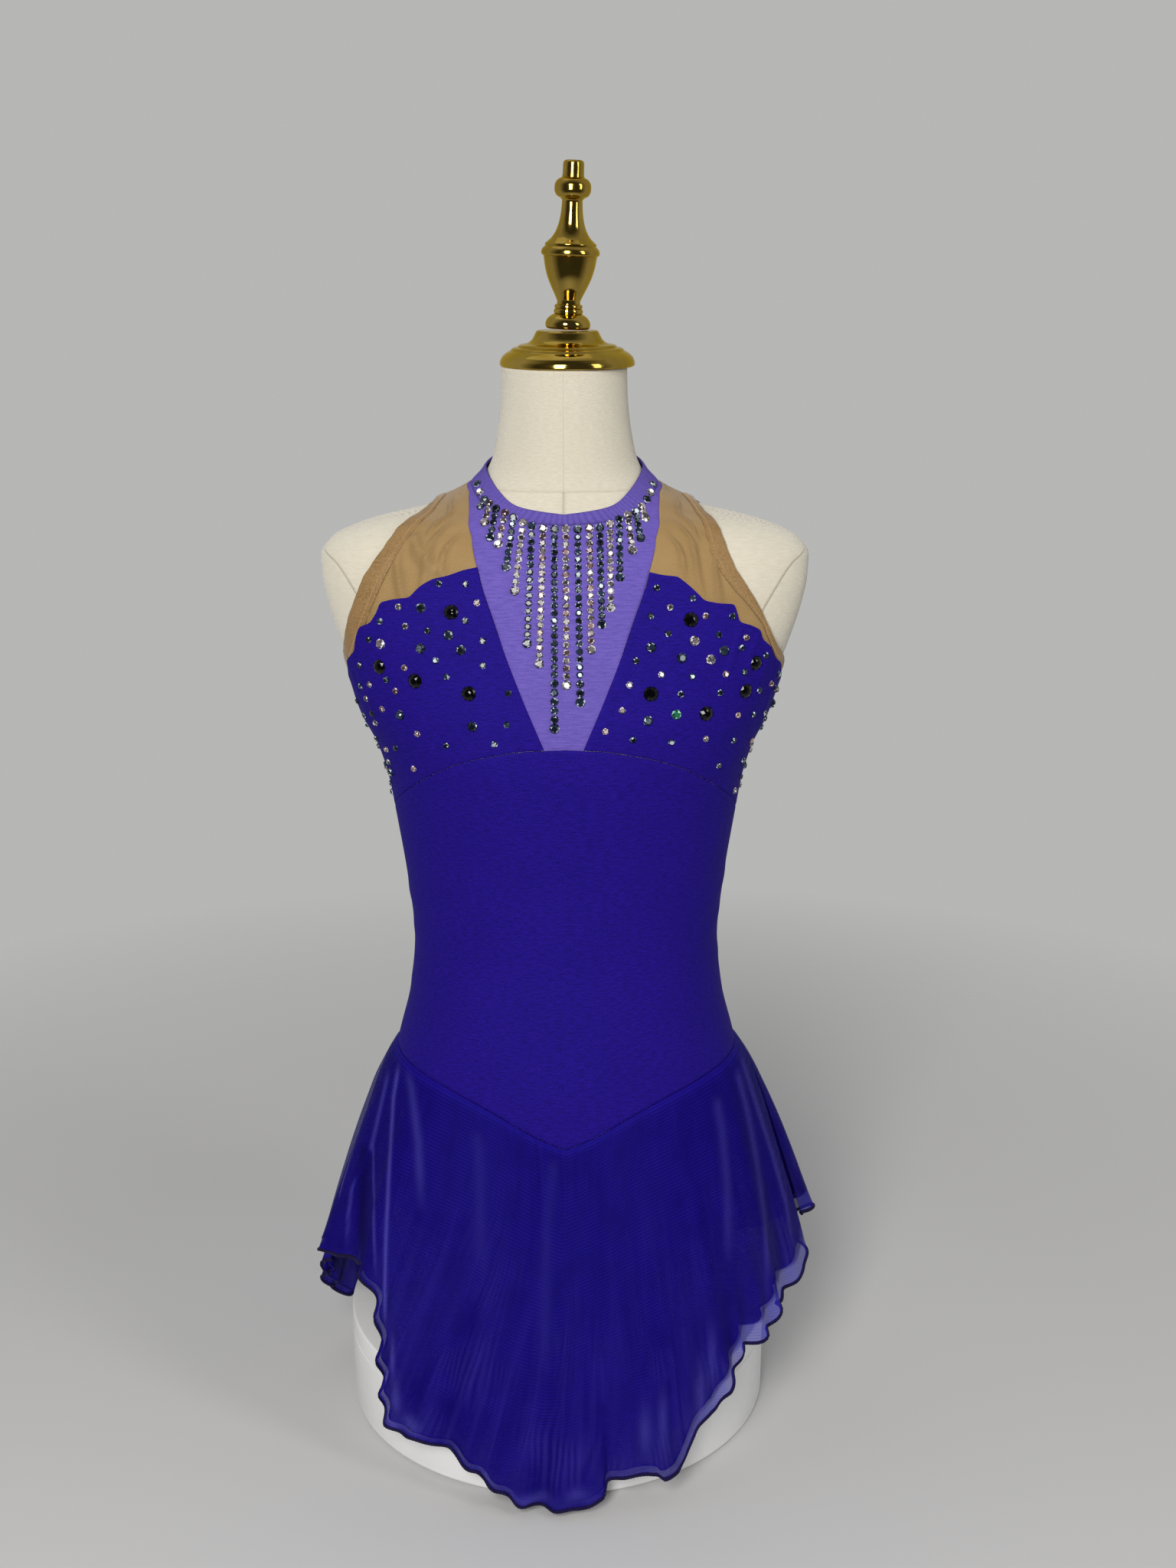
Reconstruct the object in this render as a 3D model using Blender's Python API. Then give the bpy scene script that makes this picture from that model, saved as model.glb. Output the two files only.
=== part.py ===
"""Figure skating dress worn by a child-size dress form on a round display stand.

Sizes are millimetres until each solid is made. Front is -Y, up is +Z, and the form's axis is the
Z axis. Cloth pieces are patches on the form's surface, moved out from it and given a wall.
"""
import bpy
import bmesh
import math
import numpy as np
from mathutils import Vector
from mathutils.bvhtree import BVHTree

for old in list(bpy.data.objects):
    bpy.data.objects.remove(old, do_unlink=True)

MM = 0.001
SEAM_GAP = 0.3
CLEARANCE = 0.6
KNIT_WALL = 1.2
MESH_WALL = 1.0
BINDING_WALL = 1.6
OVERLAY_STEP = 1.75
BINDING_WIDTH = 7.5
STAND_RADIUS = 152.4
STAND_HEIGHT = 70.5
STAND_SEAM_HEIGHT = 54.5
STAND_SHIFT_X = -7.0
FORM_BASE = 70.8
FORM_INSET = 0.6
CENTRE_SHIFT = (6.2, 0.7)
NECK_TOP = 748.0
ARCH_TOP = 95.0
ARCH_HALF_WIDTH = 30.0

# height, half width, front depth, back depth, squareness of the section
FORM_SECTIONS = (
    (70.8, 116.0, 78.0, 80.0, 2.20),
    (95.0, 120.0, 82.0, 86.0, 2.20),
    (120.0, 124.0, 85.0, 92.0, 2.20),
    (160.0, 130.0, 88.0, 98.0, 2.20),
    (190.0, 132.0, 89.0, 98.0, 2.20),
    (220.0, 130.0, 89.0, 94.0, 2.20),
    (250.0, 125.5, 88.0, 87.0, 2.20),
    (283.0, 117.0, 86.0, 79.0, 2.20),
    (318.0, 108.5, 83.0, 73.0, 2.20),
    (358.0, 104.8, 80.0, 70.0, 2.20),
    (399.0, 108.5, 81.0, 74.0, 2.20),
    (444.0, 115.0, 85.0, 80.0, 2.20),
    (477.0, 120.5, 89.0, 83.0, 2.25),
    (499.0, 127.0, 91.0, 85.0, 2.30),
    (521.0, 135.5, 91.0, 87.0, 2.35),
    (545.0, 143.5, 88.0, 88.0, 2.40),
    (570.0, 152.5, 83.0, 88.0, 2.40),
    (594.0, 160.0, 76.0, 87.0, 2.35),
    (612.0, 163.5, 70.0, 85.0, 2.30),
    (625.0, 164.0, 65.0, 82.0, 2.20),
    (637.0, 156.0, 59.5, 78.0, 2.10),
    (645.0, 140.0, 56.0, 75.0, 2.00),
    (650.5, 121.0, 54.0, 73.0, 2.00),
    (655.0, 100.0, 52.0, 71.0, 2.00),
    (661.0, 83.0, 50.0, 68.0, 2.00),
    (668.0, 68.0, 48.5, 64.0, 2.00),
    (674.0, 59.0, 47.5, 60.0, 2.00),
    (682.0, 52.0, 46.5, 55.0, 2.00),
    (690.0, 48.5, 46.0, 50.0, 2.00),
    (700.0, 46.3, 45.5, 45.5, 2.00),
    (714.0, 44.0, 45.0, 42.0, 2.00),
    (730.0, 42.5, 44.5, 40.0, 2.00),
    (748.0, 42.0, 44.0, 39.0, 2.00),
)

# angle round the form from centre front, height of the band's lower and upper edge
NECKBAND = (
    (0.0, 651.0, 658.0),
    (20.0, 654.0, 662.0),
    (40.0, 662.0, 670.5),
    (60.0, 668.5, 678.0),
    (80.0, 672.0, 683.0),
    (95.0, 673.0, 685.0),
    (120.0, 677.0, 689.0),
    (150.0, 682.0, 693.0),
    (200.0, 684.0, 695.0),
)

# angle and height down one side of the centre panel, from shoulder to underbust
PANEL_EDGE = (
    (90.0, 671.2),
    (66.0, 668.2),
    (56.0, 664.8),
    (46.0, 660.2),
    (36.0, 654.0),
    (27.0, 647.3),
    (20.2, 635.0),
    (17.2, 623.0),
    (13.0, 594.0),
    (8.8, 556.0),
    (3.7, 512.3),
)

# angle and height round one armhole, from the shoulder down the front and up the back
ARMHOLE = (
    (90.0, 660.0),
    (68.0, 655.5),
    (50.0, 647.0),
    (44.0, 632.0),
    (47.0, 614.0),
    (52.0, 598.0),
    (58.0, 583.0),
    (70.0, 565.0),
    (90.0, 551.0),
    (112.0, 560.0),
    (130.0, 577.0),
    (141.0, 598.0),
    (144.0, 620.0),
    (140.0, 640.0),
    (126.0, 652.5),
    (108.0, 658.0),
)

# angle and height along the scalloped top of each bust, from the centre panel out
SCALLOP_LEFT = (
    (17.3, 625.5),
    (20.6, 623.5),
    (24.0, 620.0),
    (28.0, 617.5),
    (31.0, 613.0),
    (34.0, 606.0),
    (39.0, 604.5),
    (43.5, 602.0),
    (45.5, 595.0),
    (48.5, 588.5),
    (54.0, 585.0),
    (57.5, 577.0),
    (60.5, 568.5),
    (70.0, 560.0),
)
SCALLOP_RIGHT = (
    (17.0, 622.5),
    (20.0, 620.5),
    (23.5, 619.5),
    (26.0, 614.0),
    (30.0, 604.5),
    (34.0, 602.5),
    (39.0, 601.5),
    (41.5, 590.0),
    (46.0, 587.5),
    (50.0, 584.0),
    (52.0, 578.0),
    (57.5, 572.0),
    (62.0, 564.5),
    (70.0, 558.0),
)

# angle and height under the bust edge where the front mesh ends, hidden by the bust
YOKE_HIDDEN_EDGE = (
    (15.8, 613.0),
    (27.0, 600.0),
    (37.0, 589.0),
    (47.0, 574.0),
    (57.0, 561.0),
    (66.0, 554.0),
)

UNDERBUST = ((0.0, 512.5), (8.0, 511.3), (16.0, 508.0), (28.5, 501.0), (43.0, 489.0), (60.0, 473.0),
             (76.0, 459.0), (95.0, 442.5))
WAIST_SEAM = ((0.0, 230.0), (8.0, 239.0), (17.0, 250.0), (28.0, 260.0), (40.0, 267.0),
              (55.0, 272.0), (75.0, 275.0), (95.0, 276.0), (130.0, 272.0), (160.0, 264.0),
              (180.0, 258.0))
BACK_TOP = ((90.0, 543.3), (104.0, 536.0), (125.0, 526.0), (150.0, 519.0), (180.0, 517.0))
LEG_LINE = ((0.0, 90.0), (18.5, 90.5), (21.0, 102.0), (23.5, 116.0), (27.5, 131.0), (35.0, 145.0),
            (48.0, 156.0), (70.0, 163.0), (90.0, 167.0))
LEG_LINE_BACK = ((0.0, 90.0), (17.0, 90.5), (21.0, 100.0), (28.0, 110.0), (40.0, 124.0),
                 (55.0, 139.0), (72.0, 153.0), (90.0, 167.0))
KEYHOLE = ((517.0, 180.0), (552.0, 180.0), (566.0, 176.5), (590.0, 174.5), (620.0, 174.5),
           (650.0, 176.0), (670.0, 177.5), (684.0, 178.5))

# angle round from centre front (right is plus), radius across and depth, and height of the hem
HEM_FRONT = (
    (-93.0, 182.0, 172.0, 103.0),
    (-84.0, 180.0, 172.0, 114.0),
    (-74.0, 176.0, 172.0, 127.0),
    (-64.0, 172.0, 172.0, 137.0),
    (-56.0, 169.0, 172.0, 139.0),
    (-51.0, 167.0, 172.0, 128.0),
    (-49.0, 168.0, 172.0, 100.0),
    (-47.0, 170.0, 172.0, 62.0),
    (-42.0, 173.0, 172.0, 46.0),
    (-35.0, 172.0, 172.0, 37.0),
    (-26.0, 172.0, 172.0, 32.0),
    (-17.0, 172.0, 172.0, 17.0),
    (-9.0, 172.0, 172.0, 8.0),
    (0.0, 172.0, 172.0, 6.0),
    (9.0, 172.0, 172.0, 10.0),
    (18.0, 172.0, 172.0, 20.0),
    (27.0, 172.0, 172.0, 24.0),
    (35.0, 172.0, 172.0, 44.0),
    (44.0, 172.0, 172.0, 70.0),
    (54.0, 171.0, 172.0, 92.0),
    (66.0, 171.0, 172.0, 104.0),
    (77.0, 172.0, 172.0, 120.0),
    (93.0, 174.0, 172.0, 126.0),
)
HEM_BACK = (
    (87.0, 176.0, 172.0, 132.0),
    (96.0, 180.0, 172.0, 129.0),
    (106.0, 177.0, 172.0, 110.0),
    (120.0, 176.0, 172.0, 78.0),
    (145.0, 176.0, 172.0, 40.0),
    (180.0, 172.0, 172.0, 16.0),
    (215.0, 176.0, 172.0, 34.0),
    (235.0, 180.0, 172.0, 44.0),
    (246.0, 180.0, 172.0, 41.0),
    (253.0, 181.0, 172.0, 38.0),
    (258.0, 184.0, 172.0, 50.0),
    (263.0, 186.0, 172.0, 66.0),
    (268.0, 184.0, 172.0, 92.0),
    (273.0, 182.0, 172.0, 103.0),
)

# way down the skirt, and how far it has swung out at centre front, at the side and at the back
FLARE = (
    (0.00, 0.00, 0.00, 0.00),
    (0.05, 0.05, 0.09, 0.07),
    (0.15, 0.19, 0.24, 0.24),
    (0.30, 0.42, 0.40, 0.47),
    (0.45, 0.61, 0.55, 0.66),
    (0.60, 0.76, 0.69, 0.81),
    (0.75, 0.88, 0.82, 0.91),
    (0.90, 0.96, 0.93, 0.97),
    (1.00, 1.00, 1.00, 1.00),
)

# angle, half width in degrees, swing out at the hem, and the way down where the fold starts
FOLDS = (
    (-98.0, 12.0, 5.0, 0.10),
    (-86.0, 10.0, -5.0, 0.20),
    (-75.0, 10.0, 5.0, 0.05),
    (-64.0, 10.0, -7.0, 0.05),
    (-53.0, 9.0, 4.0, 0.05),
    (-40.0, 10.0, 3.0, 0.30),
    (-29.0, 9.0, -4.0, 0.25),
    (-15.0, 10.0, 3.0, 0.30),
    (1.0, 9.0, 4.0, 0.15),
    (11.0, 8.0, -4.0, 0.20),
    (24.0, 10.0, 4.0, 0.15),
    (34.0, 8.0, -3.0, 0.30),
    (47.0, 10.0, -4.0, 0.20),
    (57.0, 9.0, 4.0, 0.20),
    (67.0, 9.0, -4.0, 0.20),
    (78.0, 9.0, 5.0, 0.15),
    (88.0, 8.0, -5.0, 0.30),
    (99.0, 11.0, 5.0, 0.15),
    (115.0, 12.0, -5.0, 0.25),
    (135.0, 14.0, 5.0, 0.20),
    (157.0, 14.0, -4.0, 0.25),
    (180.0, 14.0, 4.0, 0.20),
    (203.0, 14.0, -4.0, 0.25),
    (226.0, 14.0, 5.0, 0.20),
    (246.0, 12.0, -5.0, 0.25),
    (262.0, 11.0, 5.0, 0.15),
)

HEM_WAVES_FRONT = 18
HEM_WAVES_BACK = 10
HEM_WAVES_UNDER_FRONT = 7
HEM_WAVES_UNDER_BACK = 6
HEM_WAVE_SWING = 4.2
# angle, and how much higher the under layer's hem is than the outer one's
OUTER_RISE = ((-93.0, 0.0), (273.0, 0.0))
UNDER_RISE = ((-93.0, 4.0), (-45.0, 4.0), (-8.0, 5.0), (8.0, 8.0), (26.0, 12.5), (93.0, 13.0), (273.0, 13.0))

# side (left minus), angle, height of each large stone on the bust
LARGE_STONES = (
    (-1, 22.7, 598.0),
    (-1, 49.0, 561.0),
    (-1, 36.5, 554.0),
    (-1, 20.6, 548.0),
    (1, 26.6, 593.0),
    (1, 51.7, 563.0),
    (1, 51.0, 545.0),
    (1, 18.5, 548.0),
    (1, 37.1, 533.0),
)
LARGE_STONE_RADIUS = 5.0
LARGE_STONE_HEIGHT = 2.6

# radius and height up the cap and finial, from the neck
CAP_PROFILE = ((0.0, 748.3), (44.0, 748.3), (44.3, 750.5), (42.5, 754.5), (37.0, 758.6), (32.5, 760.4),
               (31.0, 761.2), (26.0, 762.6), (22.0, 766.5), (19.5, 771.0), (0.0, 771.0))
FINIAL_PROFILE = ((0.0, 771.3), (12.0, 771.3), (14.6, 773.4), (14.6, 776.8), (9.3, 781.0),
                  (9.3, 784.8), (7.4, 786.2), (7.4, 789.0), (12.0, 800.6), (16.0, 808.9),
                  (18.9, 818.4), (18.9, 822.6), (16.4, 824.3), (12.0, 829.1), (8.8, 837.4),
                  (7.0, 845.7), (7.0, 851.6), (10.6, 854.4), (11.9, 858.6), (10.4, 863.2), (7.0, 865.3),
                  (6.9, 873.4), (5.0, 875.8), (0.0, 876.2))
CAP_SHIFT_X = 2.0
FINIAL_LEAN = 2.3


def slopes(xs, ys):
    step = np.diff(xs)
    rise = np.diff(ys) / step
    out = np.zeros(len(xs))
    out[0] = rise[0]
    out[-1] = rise[-1]
    for i in range(1, len(xs) - 1):
        if rise[i - 1] * rise[i] > 0:
            first = 2.0 * step[i] + step[i - 1]
            second = step[i] + 2.0 * step[i - 1]
            out[i] = (first + second) / (first / rise[i - 1] + second / rise[i])
    return out


def smooth(xs, ys, x):
    """Monotone cubic through a short table."""
    xs = np.asarray(xs, float)
    ys = np.asarray(ys, float)
    x = np.clip(np.asarray(x, float), xs[0], xs[-1])
    m = slopes(xs, ys)
    i = np.clip(np.searchsorted(xs, x, side="right") - 1, 0, len(xs) - 2)
    h = xs[i + 1] - xs[i]
    s = (x - xs[i]) / h
    low = (2 * s ** 3 - 3 * s ** 2 + 1) * ys[i] + (s ** 3 - 2 * s ** 2 + s) * h * m[i]
    high = (-2 * s ** 3 + 3 * s ** 2) * ys[i + 1] + (s ** 3 - s ** 2) * h * m[i + 1]
    return low + high


def column(table, index):
    return np.array([row[index] for row in table], float)


FORM_HEIGHT = column(FORM_SECTIONS, 0)


def form_point(angle, height):
    angle = np.radians(np.asarray(angle, float))
    height = np.asarray(height, float) + 0.0 * angle
    half = smooth(FORM_HEIGHT, column(FORM_SECTIONS, 1), height)
    front = smooth(FORM_HEIGHT, column(FORM_SECTIONS, 2), height)
    back = smooth(FORM_HEIGHT, column(FORM_SECTIONS, 3), height)
    power = smooth(FORM_HEIGHT, column(FORM_SECTIONS, 4), height)
    c = np.cos(angle)
    s = np.sin(angle)
    x = half * np.sign(s) * np.abs(s) ** (2.0 / power)
    y = np.where(c > 0, -front, back) * np.abs(c) ** (2.0 / power)
    return np.stack([x, y, height], -1)


def form_normal(angle, height):
    angle = np.asarray(angle, float)
    height = np.asarray(height, float)
    round_step = form_point(angle + 0.6, height) - form_point(angle - 0.6, height)
    up_step = form_point(angle, height + 0.6) - form_point(angle, height - 0.6)
    n = np.cross(round_step, up_step)
    return n / np.linalg.norm(n, axis=-1, keepdims=True)


TRAVEL_HEIGHTS = np.linspace(FORM_BASE, NECK_TOP, 680)
TRAVEL_STEPS = np.linalg.norm(np.diff(form_point(55.0, TRAVEL_HEIGHTS), axis=0), axis=1)
TRAVEL = np.concatenate([[0.0], np.cumsum(TRAVEL_STEPS)])


def to_travel(height):
    return np.interp(height, TRAVEL_HEIGHTS, TRAVEL)


def to_height(travel):
    return np.interp(travel, TRAVEL, TRAVEL_HEIGHTS)


def spot(table):
    """Rows of angle and height as angle and travel up the surface."""
    return np.array([(row[0], to_travel(row[1])) for row in table], float)


def place(line):
    return form_point(line[..., 0], to_height(line[..., 1]))


def even(line, count):
    """Resample a line on the surface to points evenly spaced in space."""
    length = np.linalg.norm(np.diff(place(line), axis=0), axis=1)
    run = np.concatenate([[0.0], np.cumsum(length)])
    goal = np.linspace(0.0, run[-1], count)
    return np.stack([np.interp(goal, run, line[:, 0]), np.interp(goal, run, line[:, 1])], -1)


def curve(table, count):
    """Smooth line through rows of angle and height, evenly spaced."""
    knots = spot(table)
    length = np.linalg.norm(np.diff(place(knots), axis=0), axis=1)
    run = np.concatenate([[0.0], np.cumsum(length)])
    fine = np.linspace(0.0, run[-1], 400)
    line = np.stack([smooth(run, knots[:, 0], fine), smooth(run, knots[:, 1], fine)], -1)
    return even(line, count)


def level(table, start, stop, count, value=1):
    """Line whose height is a function of the angle."""
    angles = np.linspace(start, stop, 300)
    heights = smooth(column(table, 0), column(table, value), np.abs(angles))
    return even(np.stack([angles, to_travel(heights)], -1), count)


def mirrored(line):
    return np.stack([-line[:, 0], line[:, 1]], -1)


def coons(top, bottom, left, right):
    """Patch between four lines: rows run from top to bottom."""
    n = len(top)
    m = len(left)
    u = np.linspace(0.0, 1.0, n)[None, :, None]
    v = np.linspace(0.0, 1.0, m)[:, None, None]
    across = (1 - v) * top[None] + v * bottom[None]
    down = (1 - u) * left[:, None] + u * right[:, None]
    corners = ((1 - u) * (1 - v) * top[0] + u * (1 - v) * top[-1]
               + (1 - u) * v * bottom[0] + u * v * bottom[-1])
    return across + down - corners


def colour_material(name, colour, roughness, metallic=0.0):
    material = bpy.data.materials.new(name)
    material.use_nodes = True
    shader = material.node_tree.nodes["Principled BSDF"]
    shader.inputs["Base Color"].default_value = (*colour, 1.0)
    shader.inputs["Roughness"].default_value = roughness
    shader.inputs["Metallic"].default_value = metallic
    return material


LAVENDER = (0.42, 0.37, 0.66)
ROYAL = (0.06, 0.05, 0.42)
SHEER = (0.10, 0.09, 0.50)
TAN = (0.62, 0.42, 0.28)
LINEN = (0.66, 0.60, 0.48)
GOLD = (0.70, 0.50, 0.20)
WHITE = (0.80, 0.80, 0.80)
BLACK = (0.01, 0.01, 0.015)


def make_solid(name, points, faces, colour, roughness, metallic=0.0):
    mesh = bpy.data.meshes.new(name)
    shift_x, shift_y = CENTRE_SHIFT
    scaled = [((float(p[0]) + shift_x) * MM, (float(p[1]) + shift_y) * MM, float(p[2]) * MM) for p in points]
    mesh.from_pydata(scaled, [], faces)
    work = bmesh.new()
    work.from_mesh(mesh)
    bmesh.ops.recalc_face_normals(work, faces=work.faces[:])
    if work.calc_volume(signed=True) < 0.0:
        bmesh.ops.reverse_faces(work, faces=work.faces[:])
    work.to_mesh(mesh)
    work.free()
    mesh.materials.append(colour_material(name + "_finish", colour, roughness, metallic))
    body = bpy.data.objects.new(name, mesh)
    bpy.context.scene.collection.objects.link(body)
    return body


def wall_solid(name, outer, inner, colour, roughness, closed=False):
    """Join an outer and an inner grid of points into one closed wall."""
    m, n = outer.shape[:2]
    points = np.concatenate([outer.reshape(-1, 3), inner.reshape(-1, 3)])
    half = m * n
    faces = []
    columns = n if closed else n - 1
    for r in range(m - 1):
        for c in range(columns):
            a = r * n + c
            b = r * n + (c + 1) % n
            e = (r + 1) * n + (c + 1) % n
            d = (r + 1) * n + c
            faces.append((a, b, e, d))
            faces.append((half + d, half + e, half + b, half + a))
    for c in range(columns):
        a = c
        b = (c + 1) % n
        faces.append((a, half + a, half + b, b))
        a = (m - 1) * n + c
        b = (m - 1) * n + (c + 1) % n
        faces.append((b, half + b, half + a, a))
    if not closed:
        for r in range(m - 1):
            a = r * n
            d = (r + 1) * n
            faces.append((d, half + d, half + a, a))
            a = r * n + n - 1
            d = (r + 1) * n + n - 1
            faces.append((a, half + a, half + d, d))
    return make_solid(name, points, faces, colour, roughness)


def draw_in(points, gap, closed=False):
    """Move a grid's border in by half the seam gap, square to the border."""
    out = points.copy()

    def pull(edge, inside):
        along = np.gradient(edge, axis=0)
        if closed:
            along = np.roll(edge, -1, 0) - np.roll(edge, 1, 0)
        along = along / np.linalg.norm(along, axis=-1, keepdims=True)
        way = inside - edge
        way = way - along * np.sum(way * along, axis=-1, keepdims=True)
        return way / np.linalg.norm(way, axis=-1, keepdims=True) * (gap / 2.0)

    out[0] += pull(points[0], points[1])
    out[-1] += pull(points[-1], points[-2])
    if not closed:
        out[:, 0] += pull(points[:, 0], points[:, 1])
        out[:, -1] += pull(points[:, -1], points[:, -2])
    return out


def cloth_on_form(name, grid, wall, colour, roughness, lift=None, gap=SEAM_GAP, closed=False):
    base = place(grid)
    normal = form_normal(grid[..., 0], to_height(grid[..., 1]))
    away = CLEARANCE + (0.0 if lift is None else lift[..., None])
    inner = draw_in(base + normal * away, gap, closed)
    outer = draw_in(base + normal * (away + wall), gap, closed)
    return wall_solid(name, outer, inner, colour, roughness, closed)


# Armhole: the edge, and the seam a binding's width inside it
def closed_armhole(count):
    rows = ARMHOLE + (ARMHOLE[0],)
    knots = spot(rows)
    length = np.linalg.norm(np.diff(place(knots), axis=0), axis=1)
    run = np.concatenate([[0.0], np.cumsum(length)])
    around = np.concatenate([knots[-3:-1], knots, knots[1:3]])
    spots = np.concatenate([run[-3:-1] - run[-1], run, run[1:3] + run[-1]])
    fine = np.linspace(0.0, run[-1], 500)
    line = np.stack([smooth(spots, around[:, 0], fine), smooth(spots, around[:, 1], fine)], -1)
    return even(line, count + 1)[:-1]


def slide(line, distance):
    """Move a closed line sideways along the surface, away from the arm."""
    here = place(line)
    ahead = np.roll(here, -1, 0) - np.roll(here, 1, 0)
    normal = form_normal(line[:, 0], to_height(line[:, 1]))
    side = np.cross(normal, ahead)
    side /= np.linalg.norm(side, axis=1, keepdims=True)
    centre = here.mean(0)
    if np.mean(np.sum(side * (here - centre), axis=1)) < 0:
        side = -side
    goal = here + side * distance
    moved = line.copy()
    for _ in range(4):
        miss = goal - place(moved)
        by_angle = (place(moved + (0.5, 0.0)) - place(moved - (0.5, 0.0)))
        by_travel = (place(moved + (0.0, 0.5)) - place(moved - (0.0, 0.5)))
        for i in range(len(moved)):
            frame = np.stack([by_angle[i], by_travel[i]], -1)
            moved[i] += np.linalg.lstsq(frame, miss[i], rcond=None)[0]
    return moved


ARMHOLE_COUNT = 32
armhole_edge = closed_armhole(ARMHOLE_COUNT)
armhole_seam = slide(armhole_edge, BINDING_WIDTH)
underarm = int(np.argmin(np.abs(armhole_seam[:, 0] - 90.0) + 0.05 * armhole_seam[:, 1]))
yoke_end = int(np.argmin(np.abs(armhole_seam[:underarm, 0] - 74.0)
                         + 0.2 * np.abs(armhole_seam[:underarm, 1] - to_travel(553.0))))
UNDERARM_ANGLE = float(armhole_seam[underarm, 0])
UNDERARM_HEIGHT = float(to_height(armhole_seam[underarm, 1]))
SHOULDER_ANGLE = float(armhole_seam[0, 0])

for side, tag in ((-1, "left"), (1, "right")):
    ring = np.stack([armhole_edge, armhole_seam])
    if side < 0:
        ring = np.stack([mirrored(armhole_edge), mirrored(armhole_seam)])
    cloth_on_form("armhole_binding_" + tag, ring, BINDING_WALL, TAN, 0.8, closed=True)

# Centre front panel
FRONT_NECK_COUNT = 17
BACK_NECK_COUNT = 10


def neck_line(angles, value):
    flat = np.where(np.abs(angles) > 180.0, 360.0 - np.abs(angles), np.abs(angles))
    heights = smooth(column(NECKBAND, 0), column(NECKBAND, value), flat)
    return np.stack([angles, to_travel(heights)], -1)


front_neck_angles = even(neck_line(np.linspace(-90.0, 90.0, 300), 1), FRONT_NECK_COUNT)[:, 0]
back_neck_angles = even(neck_line(np.linspace(90.0, KEYHOLE[-1][1], 300), 1), BACK_NECK_COUNT)[:, 0]
panel_top = neck_line(front_neck_angles, 1)
panel_bottom = level(UNDERBUST, -3.7, 3.7, FRONT_NECK_COUNT)
fine_panel = curve(PANEL_EDGE, 400)
hidden_row = int(np.argmin(np.abs(fine_panel[:, 1] - to_travel(YOKE_HIDDEN_EDGE[0][1]))))
yoke_rows = yoke_end + 1
yoke_inner = even(fine_panel[:hidden_row + 1], yoke_rows)
panel_side = np.concatenate([panel_top[-1:], yoke_inner, even(fine_panel[hidden_row:], 7)[1:]])
panel_side[-1] = panel_bottom[-1]


def to_front_view(line):
    return np.stack([place(line)[..., 0], to_height(line[..., 1])], -1)


def from_front_view(spread):
    height = spread[..., 1]
    half = smooth(FORM_HEIGHT, column(FORM_SECTIONS, 1), height)
    power = smooth(FORM_HEIGHT, column(FORM_SECTIONS, 4), height)
    share = np.clip(np.abs(spread[..., 0]) / half, 0.0, 1.0) ** (power / 2.0)
    return np.stack([np.sign(spread[..., 0]) * np.degrees(np.arcsin(share)), to_travel(height)], -1)


right_view = to_front_view(panel_side)
centre_panel = from_front_view(coons(to_front_view(panel_top), to_front_view(panel_bottom),
                                     right_view * (-1.0, 1.0), right_view))
cloth_on_form("centre_front_panel", centre_panel, KNIT_WALL, LAVENDER, 0.6)

# Front yokes: panel edge, shoulder, armhole seam and the edge hidden by the bust
yoke_outer = armhole_seam[:yoke_rows]
hidden_rows = YOKE_HIDDEN_EDGE + ((float(yoke_outer[-1, 0]), float(to_height(yoke_outer[-1, 1]))),)
yoke_bottom = curve(hidden_rows, 7)
yoke_bottom[0] = yoke_inner[-1]
yoke_bottom[-1] = yoke_outer[-1]
shoulder = np.linspace(yoke_inner[0], yoke_outer[0], 7)
yoke_front = coons(shoulder, yoke_bottom, yoke_inner, yoke_outer)
for side, tag in ((-1, "left"), (1, "right")):
    grid = yoke_front if side > 0 else yoke_front * (-1.0, 1.0)
    cloth_on_form("yoke_front_" + tag, grid, MESH_WALL, TAN, 0.8)

# Bust pieces with scalloped tops, lying on the mesh above and level with the body below
BUST_COLUMNS = 25
BUST_ROWS = 7
for side, tag, scallop in ((-1, "left", SCALLOP_LEFT), (1, "right", SCALLOP_RIGHT)):
    top_row = int(np.argmin(np.abs(fine_panel[:, 1] - to_travel(scallop[0][1]))))
    inner = even(fine_panel[top_row:], BUST_ROWS)
    knots = spot(scallop)
    run = np.concatenate([[0.0], np.cumsum(np.linalg.norm(np.diff(place(knots), axis=0), axis=1))])
    goal = np.linspace(0.0, run[-1], 60)
    lace = np.stack([np.interp(goal, run, knots[:, 0]), np.interp(goal, run, knots[:, 1])], -1)
    after = armhole_seam[yoke_end:underarm + 1] - (0.0, 0.5)
    top = even(np.concatenate([lace, after]), BUST_COLUMNS)
    top[0] = inner[0]
    bottom = level(UNDERBUST, 3.7, UNDERARM_ANGLE, BUST_COLUMNS)
    bottom[0] = inner[-1]
    outer = np.stack([np.linspace(top[-1, 0], bottom[-1, 0], BUST_ROWS),
                      np.linspace(top[-1, 1], bottom[-1, 1], BUST_ROWS)], -1)
    grid = coons(top, bottom, inner, outer)
    down = np.linspace(0.0, 1.0, BUST_ROWS)[:, None] + np.zeros(BUST_COLUMNS)
    fade = np.clip((down - 0.28) / 0.3, 0.0, 1.0)
    lift = OVERLAY_STEP * (1.0 - fade * fade * (3.0 - 2.0 * fade))
    if side < 0:
        grid = grid * (-1.0, 1.0)
    cloth_on_form("bust_" + tag, grid, KNIT_WALL, ROYAL, 0.5, lift)
    bust_hem = bottom

# Front and back body between underbust and waist seam
def side_line(top_travel, bottom_travel, angle, count):
    return np.stack([np.full(count, angle), np.linspace(top_travel, bottom_travel, count)], -1)


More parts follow.
